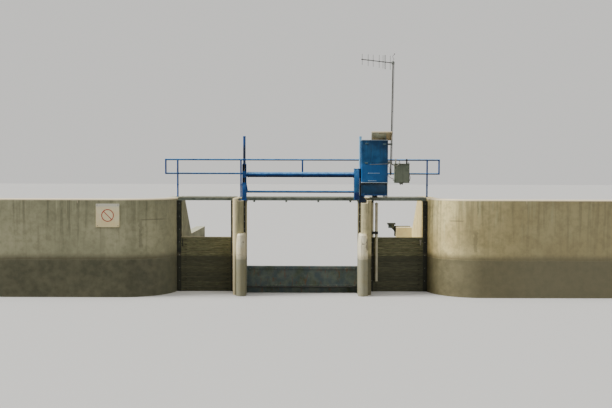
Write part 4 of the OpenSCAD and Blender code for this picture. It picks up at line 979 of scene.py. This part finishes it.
@piece("conduitGrey")
def jointStrap():
    # Flat grey strap along the joint of the front panels, round the corner to the conduit on the right side.
    y, z0, z1 = hoodLow.y - 0.0035, 3.546, 3.570
    corner = np.linspace(0, np.pi / 2, 7)
    r, x1 = 0.036, hoodHigh.x + 0.0035
    along = np.column_stack([np.linspace(1.835, x1 - r, 12), np.full(12, y), np.linspace(z0, z1, 12)])
    bend = np.column_stack([x1 - r * (1 - np.sin(corner)), y + r * (1 - np.cos(corner)), np.full(7, z1)])
    path = np.vstack([along, bend[1:], (x1, y + r + 0.012, z1 + 0.0005), (x1, y + r + 0.024, z1 + 0.001)])
    return sweep(path, roundedOutline(hoodMake["strapThick"], hoodMake["strapTall"], 0.002))


@piece("hoodPaint")
def hoodLouvres():
    # Two banks of pressed louvres in the hood's back: quarter rounds carried along X, ends closed.
    a = np.linspace(0, np.pi / 2, 5)
    section = np.vstack([np.column_stack([0.014 * np.sin(a), 0.022 * np.cos(a)]), (0.012, 0), (0, 0.019)])
    louvre = sweep(spots(np.linspace(0, 0.20, 3), 0, 0), section)
    return copies(louvre, spots((1.74, 2.00), hoodHigh.y - lip, np.arange(3.20, 3.44, 0.034)))


@piece("basePaint")
def baseTrim():
    # Front plate of the base box with its screws, and bolts along the lip on the bracket and foot.
    low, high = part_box("drive_base")
    y, thick, xs = low.y + lip, 0.004, (low.x + 0.064, (low.x + high.x) / 2, high.x - 0.064)
    return join(plate((low.x + 0.05, high.x - 0.05), y, (low.z + 0.05, high.z - 0.03), thick, 0.0018),
                bolts("front", 0.012, xs, y - thick, (low.z + 0.064, high.z - 0.044)),
                bolts("front", 0.014, np.linspace(low.x + 0.05, high.x - 0.05, 5), low.y, low.z + 0.014))


@piece("zinc")
def bracketBolts():
    # Anchors of the bracket on the pier, and bolts through the foot on the deck beam.
    (low, high), (foot, footHigh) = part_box("drive_bracket"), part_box("drive_foot")
    return join(bolts("up", 0.022, high.x - 0.022, (low.y + 0.03, high.y - 0.03), low.z + 0.06),
                bolts("front", 0.016, (foot.x + 0.03, footHigh.x - 0.03), foot.y, foot.z + 0.03))


print("drive dressed")

panelMake = {"origin": (1.8925, -2.7077, 4.2203), "tilt": 45, "width": 0.566, "height": 0.300, "thick": 0.035,
             "rim": 0.022, "columns": 9, "rows": 4, "gap": 0.003}
panelW, panelH, rim, glass = (panelMake[key] for key in ("width", "height", "rim", "thick"))
cellW = (panelW - 2 * rim) / panelMake["columns"]
cellH = (panelH - 2 * rim) / panelMake["rows"]


def onPanel(shape):
    return move(turn(shape, "x", panelMake["tilt"]), panelMake["origin"])


@piece("cellGlass")
def panelCells():
    # Cells in rows and columns under the glass, which stand a hair above the backing.
    gap = panelMake["gap"] / 2
    cell = block((gap, cellW - gap), (0, 0.0008), (gap, cellH - gap), 0.0003, 0.0002)
    xs, zs = rim + cellW * np.arange(panelMake["columns"]), rim + cellH * np.arange(panelMake["rows"])
    return onPanel(copies(cell, spots(xs, glass, zs)))


@piece("zincBright")
def panelLines():
    # Two fine silver lines up each column of cells, and the flat bars of the frame round them.
    line = block((-0.0007, 0.0007), (0, 0.0012), (rim, panelH - rim), 0.0003, 0.0002)
    xs = np.concatenate([rim + cellW * (np.arange(panelMake["columns"]) + share) for share in (0.3, 0.7)])
    across, up, near = (0.002, panelW - 0.002), (0.002, panelH - 0.002), (0.002, rim - 0.004)
    bars = [(across, near), (across, (panelH - near[1], up[1])), (near, up),
            ((panelW - near[1], across[1]), up)]
    frameBars = join(*(plate(xSpan, 0.003, zSpan, 0.003) for xSpan, zSpan in bars))
    return onPanel(join(copies(line, spots(xs, glass, 0)), move(frameBars, (0, glass - 0.0005, 0))))


mastMake = {"foot": (2.442, -2.6477, 3.26), "lean": 0.9, "radius": 0.0165, "length": 3.14, "boomTurn": 37,
            "boom": 1.14,
            "elements": (0.09, 0.244, 0.326, 0.449, 0.641, 0.80, 0.985), "fed": 1}


def mastAt(x, y, z):
    # A place beside the leaning mast, z above its foot.
    foot = mastMake["foot"]
    return foot[0] + x + z * math.tan(math.radians(mastMake["lean"])), foot[1] + y, foot[2] + z


@piece("zinc")
def mastTrim():
    # U-bolts at the clamps, as half circles with straight legs, and bands that hold the antenna's cable.
    a = np.linspace(-np.pi / 2, np.pi / 2, 11)
    r, reach = mastMake["radius"] + 0.004, 0.05
    path = np.vstack([(-reach, -r, 0), polar(r, a, 0), (-reach, r, 0)])
    loop = move(sleeve(0.0064, 0.0076, 0.010, 0.001, 14), (mastMake["radius"] + 0.009, 0, 0))
    band = join(sleeve(0.0170, 0.0186, 0.010, 0.001, 20), loop)
    return join(copies(tube(path, 0.004, 8), [mastAt(0, 0, z) for z in (0.350, 0.376, 0.848, 0.874)]),
                copies(band, [mastAt(0, 0, z) for z in np.arange(0.55, 3.0, 0.40)]))


@piece("antennaAlloy")
def antennaTrim():
    # On the boom, whose axis is X here: a block at each element, the fed one's folded loop, an end plug.
    boom, shares = mastMake["boom"], mastMake["elements"]
    holder = join(block((-0.014, 0.014), (-0.015, 0.015), (-0.015, 0.015)),
                  bolts("front", 0.009, 0, -0.015, 0))
    x, half, r = shares[mastMake["fed"]] * boom, 0.175, 0.016
    a = np.linspace(0, np.pi, 9)
    loop = np.vstack([np.column_stack([x + r + r * np.cos(a), 0 * a, half + r * np.sin(a)]),
                      np.column_stack([x + r - r * np.cos(a), 0 * a, -half - r * np.sin(a)])])
    loop = tube(np.vstack([loop, loop[:1] - (0, 0, 0.001)]), 0.004, 8, (0, 1, 0))
    plug = face(lathe([(0.0118, 0), (0.0118, 0.010), (0.008, 0.013)], 16), "right")
    shape = join(copies(holder, spots(np.array(shares) * boom, 0, 0)), loop, move(plug, (boom, 0, 0)))
    return move(turn(shape, "z", 180 + mastMake["boomTurn"]), mastAt(0, 0, mastMake["length"] - 0.05))


print("panel, mast and antenna dressed")


@piece("boxEnamel")
def boxTrim():
    # Hinges, door latches and the drip edge along the foot of the control box's door.
    x0, x1, y = boxLow.x + 0.006, boxHigh.x - 0.006, boxLow.y + 0.012
    hinge = lathe([(0.007, 0), (0.0075, 0.002), (0.0075, 0.058), (0.007, 0.060)], 12)
    latch = block((-0.011, 0.011), (-0.007, 0), (-0.022, 0.022))
    return join(copies(hinge, spots(x0 - 0.0005, y + 0.008, (3.11, 3.29, 3.47))),
                copies(latch, spots(x1 - 0.030, y, (3.15, 3.32, 3.49))),
                block((x0 + 0.024, x1 - 0.05), (y - 0.002, y), (3.065, 3.071), 0.0009, 0.0008))


@piece("blackFitting")
def boxFittings():
    # Black fittings: the short aerial on the lid, the lever on the right side, and the glands underneath.
    x, y = boxHigh.x - 0.006, (boxLow.y + boxHigh.y) / 2
    aerial = lathe([(0.015, 0), (0.015, 0.008), (0.011, 0.011), (0.010, 0.036), (0.006, 0.040)], 18)
    hub = face(lathe([(0.020, 0), (0.020, 0.010), (0.012, 0.014)], 18), "right")
    steps = (0.010, 3.26), (0.026, 3.235), (0.032, 3.18), (0.024, 3.125), (0.014, 3.095)
    lever = smoothPath([(x + out, y, z) for out, z in steps], 16)
    gland = lathe([(0.020, 0), (0.020, -0.012), (0.015, -0.016), (0.013, -0.030), (0.009, -0.034)], 18, 6)
    return join(move(aerial, (3.044, -1.80, boxHigh.z - 0.0005)), move(hub, (x, y, 3.26)),
                sweep(lever, roundedOutline(0.016, 0.008, 0.003), (0, 1, 0)),
                copies(gland, spots((2.825, 2.875), y + 0.01, boxLow.z)))


# Each cable's knots, of which the first and last stand a hair off the faces that they meet.
conduitMake = {"radius": 0.017, "rib": 0.0085, "depth": 0.0024}
cableMake = {"boxRadius": 0.008, "mastRadius": 0.006, "beside": 0.0315, "front": -0.0525, "top": 3.051}
hoodX, hoodY, boxX, cordY, lidX, lidZ = 2.332, -3.0377, 2.651, -1.7427, 2.7917, 3.5953
conduitKnots = [
    (hoodX + 0.0003, hoodY + 0.060, 3.572), (hoodX + 0.024, hoodY + 0.061, 3.575),
    (hoodX + 0.062, hoodY + 0.080, 3.596), (hoodX + 0.150, hoodY + 0.290, 3.560),
    (hoodX + 0.310, hoodY + 0.680, 3.525), (lidX - 0.025, cordY - 0.250, lidZ - 0.002),
    (lidX - 0.012, cordY - 0.130, lidZ + 0.035), (lidX - 0.004, cordY - 0.055, lidZ + 0.062),
    (lidX, cordY - 0.008, lidZ + 0.038), (lidX, cordY, lidZ + 0.001)]
cableKnots = [
    (hoodX + 0.0003, hoodY + 0.140, 3.283), (hoodX + 0.045, hoodY + 0.185, 3.225),
    (hoodX + 0.135, hoodY + 0.480, 3.180), (hoodX + 0.240, hoodY + 0.880, 3.160),
    (boxX - 0.045, cordY - 0.060, 3.122), (boxX - 0.020, cordY - 0.004, 3.108),
    (boxX - 0.0003, cordY, 3.104)]
beside, front, top = cableMake["beside"], cableMake["front"], cableMake["top"]
mastKnots = [mastAt(*at) for at in (
    (beside, 0, top), (beside, 0, top * 2 / 3), (beside, 0, top / 3), (beside, 0, 0.420),
    (beside, front / 2, 0.310), (beside - 0.002, front, 0.190), (beside - 0.010, front, 0.070),
    (-0.004, front, 0.022), (-0.028, front, 0.080), (-0.032, front, 0.180))]
foot = mastMake["foot"]
mastKnots += [(hoodX + out, foot[1] + front, foot[2] + z) for out, z in ((0.0503, 0.255), (0.0003, 0.262))]

paths = [smoothPath(knots, 10 * len(knots) - 9) for knots in (conduitKnots, cableKnots, mastKnots)]
cords = {
    "conduitRun": ("box_conduit", "conduitGrey", "conduit_grey",
                   ribbedTube(paths[0], *conduitMake.values(), 14, (1, -1, 0))),
    "cableRun": ("box_cable", "cableSheath", "cable_black", tube(paths[1], cableMake["boxRadius"])),
    "coaxRun": ("mast_cable", "cableSheath", "cable_black",
                tube(paths[2], cableMake["mastRadius"], 12, (0, 1, 0)))}
for name, (node, material, slot, shape) in cords.items():
    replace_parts(makePiece(name, shape, material, sharp=60), node)


def glandNut(radius, length):
    # Hexagon nut, round neck and rounded lip, from the wall outwards along Z.
    neck = [(radius * 1.3, length * 0.4), (radius * 1.3, length * 0.8), (radius * 1.1, length)]
    return join(lathe([(radius * 1.55, 0), (radius * 1.55, length * 0.4)], 12, 6), lathe(neck, 18))


@piece("zinc")
def glands():
    # A nut where each run meets the hood's side, the control box or its lid.
    places = [("right", 0.017, 0.024, (hoodX, *conduitKnots[0][1:])),
              ("up", 0.017, 0.024, (lidX, cordY, lidZ)),
              ("right", 0.008, 0.018, (hoodX, *cableKnots[0][1:])),
              ("left", 0.008, 0.014, (boxX, *cableKnots[-1][1:])),
              ("right", 0.006, 0.014, (hoodX, *mastKnots[-1][1:]))]
    return join(*(move(face(glandNut(radius, length), facing), at) for facing, radius, length, at in places))


print("control box and cables ready")


@piece("bluePaint")
def railTrim():
    # Weld beads where the posts meet the rails and their base plates, and a sleeve on each post.
    post = join(copies(bead(0.024), spots(0, railY, (2.632, 3.676))),
                move(sleeve(0.0241, 0.0285, 0.040, 0.002, 28), (0, railY, 2.95)),
                copies(face(bead(0.0245), "right"), spots((-0.0225, 0.0225), railY, 3.30)))
    return join(copies(post, spots(postXs, 0, 0)), copies(bead(0.024), spots(0, railY, (3.325, 3.676))))


@piece("zinc")
def postBolts():
    # Four anchors in each post's base plate.
    xs = [x + side * 0.028 for x in postXs for side in (-1, 1)]
    return bolts("up", 0.014, xs, (railY - 0.028, railY + 0.028), 2.63)


@piece("zincDeck")
def deckTrim():
    # Clip discs that hold the grating, and bolts at the ends of the beams.
    low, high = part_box("centre_deck_frame")
    clip = join(lathe([(0.016, 0), (0.016, 0.002), (0.013, 0.003)], 12),
                move(hexBolt(0.012, False), (0, 0, 0.003)))
    xs = np.concatenate([np.linspace(-3.3, -2.1, 4), np.linspace(-1.4, 1.4, 7), np.linspace(2.1, 3.3, 4)])
    ends = [side * x for side in (-1, 1) for x in (1.55, 1.58, 1.92, 1.95, 3.44, 3.47)]
    return join(copies(clip, spots(xs, (low.y + 0.085, high.y - 0.085), 2.640)),
                bolts("front", 0.012, ends, low.y + 0.043, 2.59))


print("deck and rails dressed")

logMake = {"height": 0.1383, "count": 11, "hook": 0.006}


@piece("guideCoat")
def logHooks():
    # A staple near both ends of each log, as a half ring, and the flat bar of the upper lifting hook.
    staple = tube(polar(0.026, -np.linspace(0, np.pi, 11), 0), logMake["hook"], 8)
    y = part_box("left_stoplogs")[0].y
    heights = logMake["height"] * (np.arange(logMake["count"]) + 0.5)
    knob = face(lathe([(0.014, 0), (0.014, 0.008), (0.009, 0.012)], 14), "front")
    hook = join(block((-0.012, 0.012), (-0.008, 0), (0, 0.22)), move(knob, (0, -0.008, 0.2)))
    return join(copies(staple, spots((-2.10, -3.26, 2.10, 3.26), y, heights)), move(hook, (-3.348, y, 1.26)))


@piece("paleWood")
def logWedge():
    # A wedge of weathered wood between the top log and the guide at the right end of the right bay.
    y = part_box("right_stoplogs")[0].y
    section = [(-0.030, 1.455), (0.030, 1.455), (0.012, 1.30), (-0.008, 1.30)]
    return loft([[(3.312 + x, y - out, z) for x, z in section] for out in (0.001, 0.026)])


@piece("pipePlastic")
def pipeCaps():
    # Domed caps with a small knob on the tops of both stilling pipes.
    y, z = middle("stilling_pipes").y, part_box("stilling_pipes")[1].z
    knob = lathe([(0.010, 0), (0.007, 0.006), (0.011, 0.012), (0.004, 0.017)], 14)
    parts = []
    for x, r in ((1.9633, 0.0265), (2.0703, 0.047)):
        dome = lathe([(r, -0.020), (r + 0.002, -0.018), (r + 0.002, 0.002), (r * 0.8, 0.008),
                      (r * 0.3, 0.011)], 28)
        parts += [move(dome, (x, y, z)), move(knob, (x, y, z + 0.010))]
    return join(*parts)


@piece("zinc")
def clampBolts():
    # Bolts of the pipe clamp and of the sensor's bracket, and the screws of the sensor's lid.
    low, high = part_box("pipe_clamp")
    xs = (low.x + 0.018, (low.x + high.x) / 2 + 0.008, high.x - 0.012)
    return join(bolts("front", 0.012, xs, low.y, (low.z + high.z) / 2),
                bolts("front", 0.014, 2.975, 0.8123, (1.36, 1.44)),
                bolts("up", 0.010, (2.75, 2.96), (0.757, 0.917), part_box("level_sensor")[1].z))


print("side bays and sensor dressed")

view = {"lens": 46.47, "place": (0.075, -24.54, 3.30), "pitch": 87.795, "roll": -0.15, "yaw": -0.07}
scene = bpy.context.scene
camera = bpy.data.cameras.new("camera")
camera.lens = view["lens"]
camera.sensor_width = 36
camera.clip_end = 400
cameraObject = bpy.data.objects.new("camera", camera)
cameraObject.location = view["place"]
cameraObject.rotation_euler = [math.radians(view[key]) for key in ("pitch", "roll", "yaw")]
scene.collection.objects.link(cameraObject)
scene.camera = cameraObject

lights = {"backdrop": 1.0, "sky": 0.24,
          "key": {"power": 4.6, "soft": 22, "from": (-0.78, -0.07, 0.62)},
          "top": {"power": 1.6, "soft": 60, "from": (-0.10, -0.10, 1.0)},
          "fill": {"power": 0.8, "soft": 50, "from": (0.75, -0.75, 0.20)}}
lampFar = 12  # how far off the lamps stand; a sun's place doesn't change its light
world = bpy.data.worlds.new("sky")
world.use_nodes = True
background = world.node_tree.nodes["Background"]
seen = given(put(world.node_tree, "ShaderNodeLightPath").outputs["Is Camera Ray"])
background.inputs[0].default_value = (0.80, 0.79, 0.76, 1)
world.node_tree.links.new(remap(seen, 0.0, 1.0, lights["sky"], lights["backdrop"]).socket,
                          background.inputs[1])
scene.world = world
for name in ("key", "top", "fill"):
    lamp = bpy.data.lights.new(name, "SUN")
    lamp.energy = lights[name]["power"]
    lamp.angle = math.radians(lights[name]["soft"])
    lampObject = bpy.data.objects.new(name, lamp)
    x, y, z = lights[name]["from"]
    lampObject.location = (lampFar * x, lampFar * y, lampFar * z)
    lampObject.rotation_euler = (math.atan2(math.hypot(x, y), z), 0, math.atan2(-y, -x) - math.pi / 2)
    scene.collection.objects.link(lampObject)

floorMesh = bpy.data.meshes.new("floor")
floorMesh.from_pydata([(-120, -60, 0), (120, -60, 0), (120, 220, 0), (-120, 220, 0)], [], [(0, 1, 2, 3)])
floor = bpy.data.objects.new("floor", floorMesh)
floorMaterial = bpy.data.materials.new("floor")
floorMaterial.use_nodes = True
floorTree = floorMaterial.node_tree
floorShader = floorTree.nodes["Principled BSDF"]
floorSeen = given(put(floorTree, "ShaderNodeLightPath").outputs["Is Camera Ray"])
floorTone = blend(floorSeen, (0.13, 0.13, 0.12, 1), (0.60, 0.59, 0.56, 1))
floorTree.links.new(floorTone.socket, floorShader.inputs["Base Color"])
floorShader.inputs["Roughness"].default_value = 0.8
floorMesh.materials.append(floorMaterial)
scene.collection.objects.link(floor)
print("stage ready")
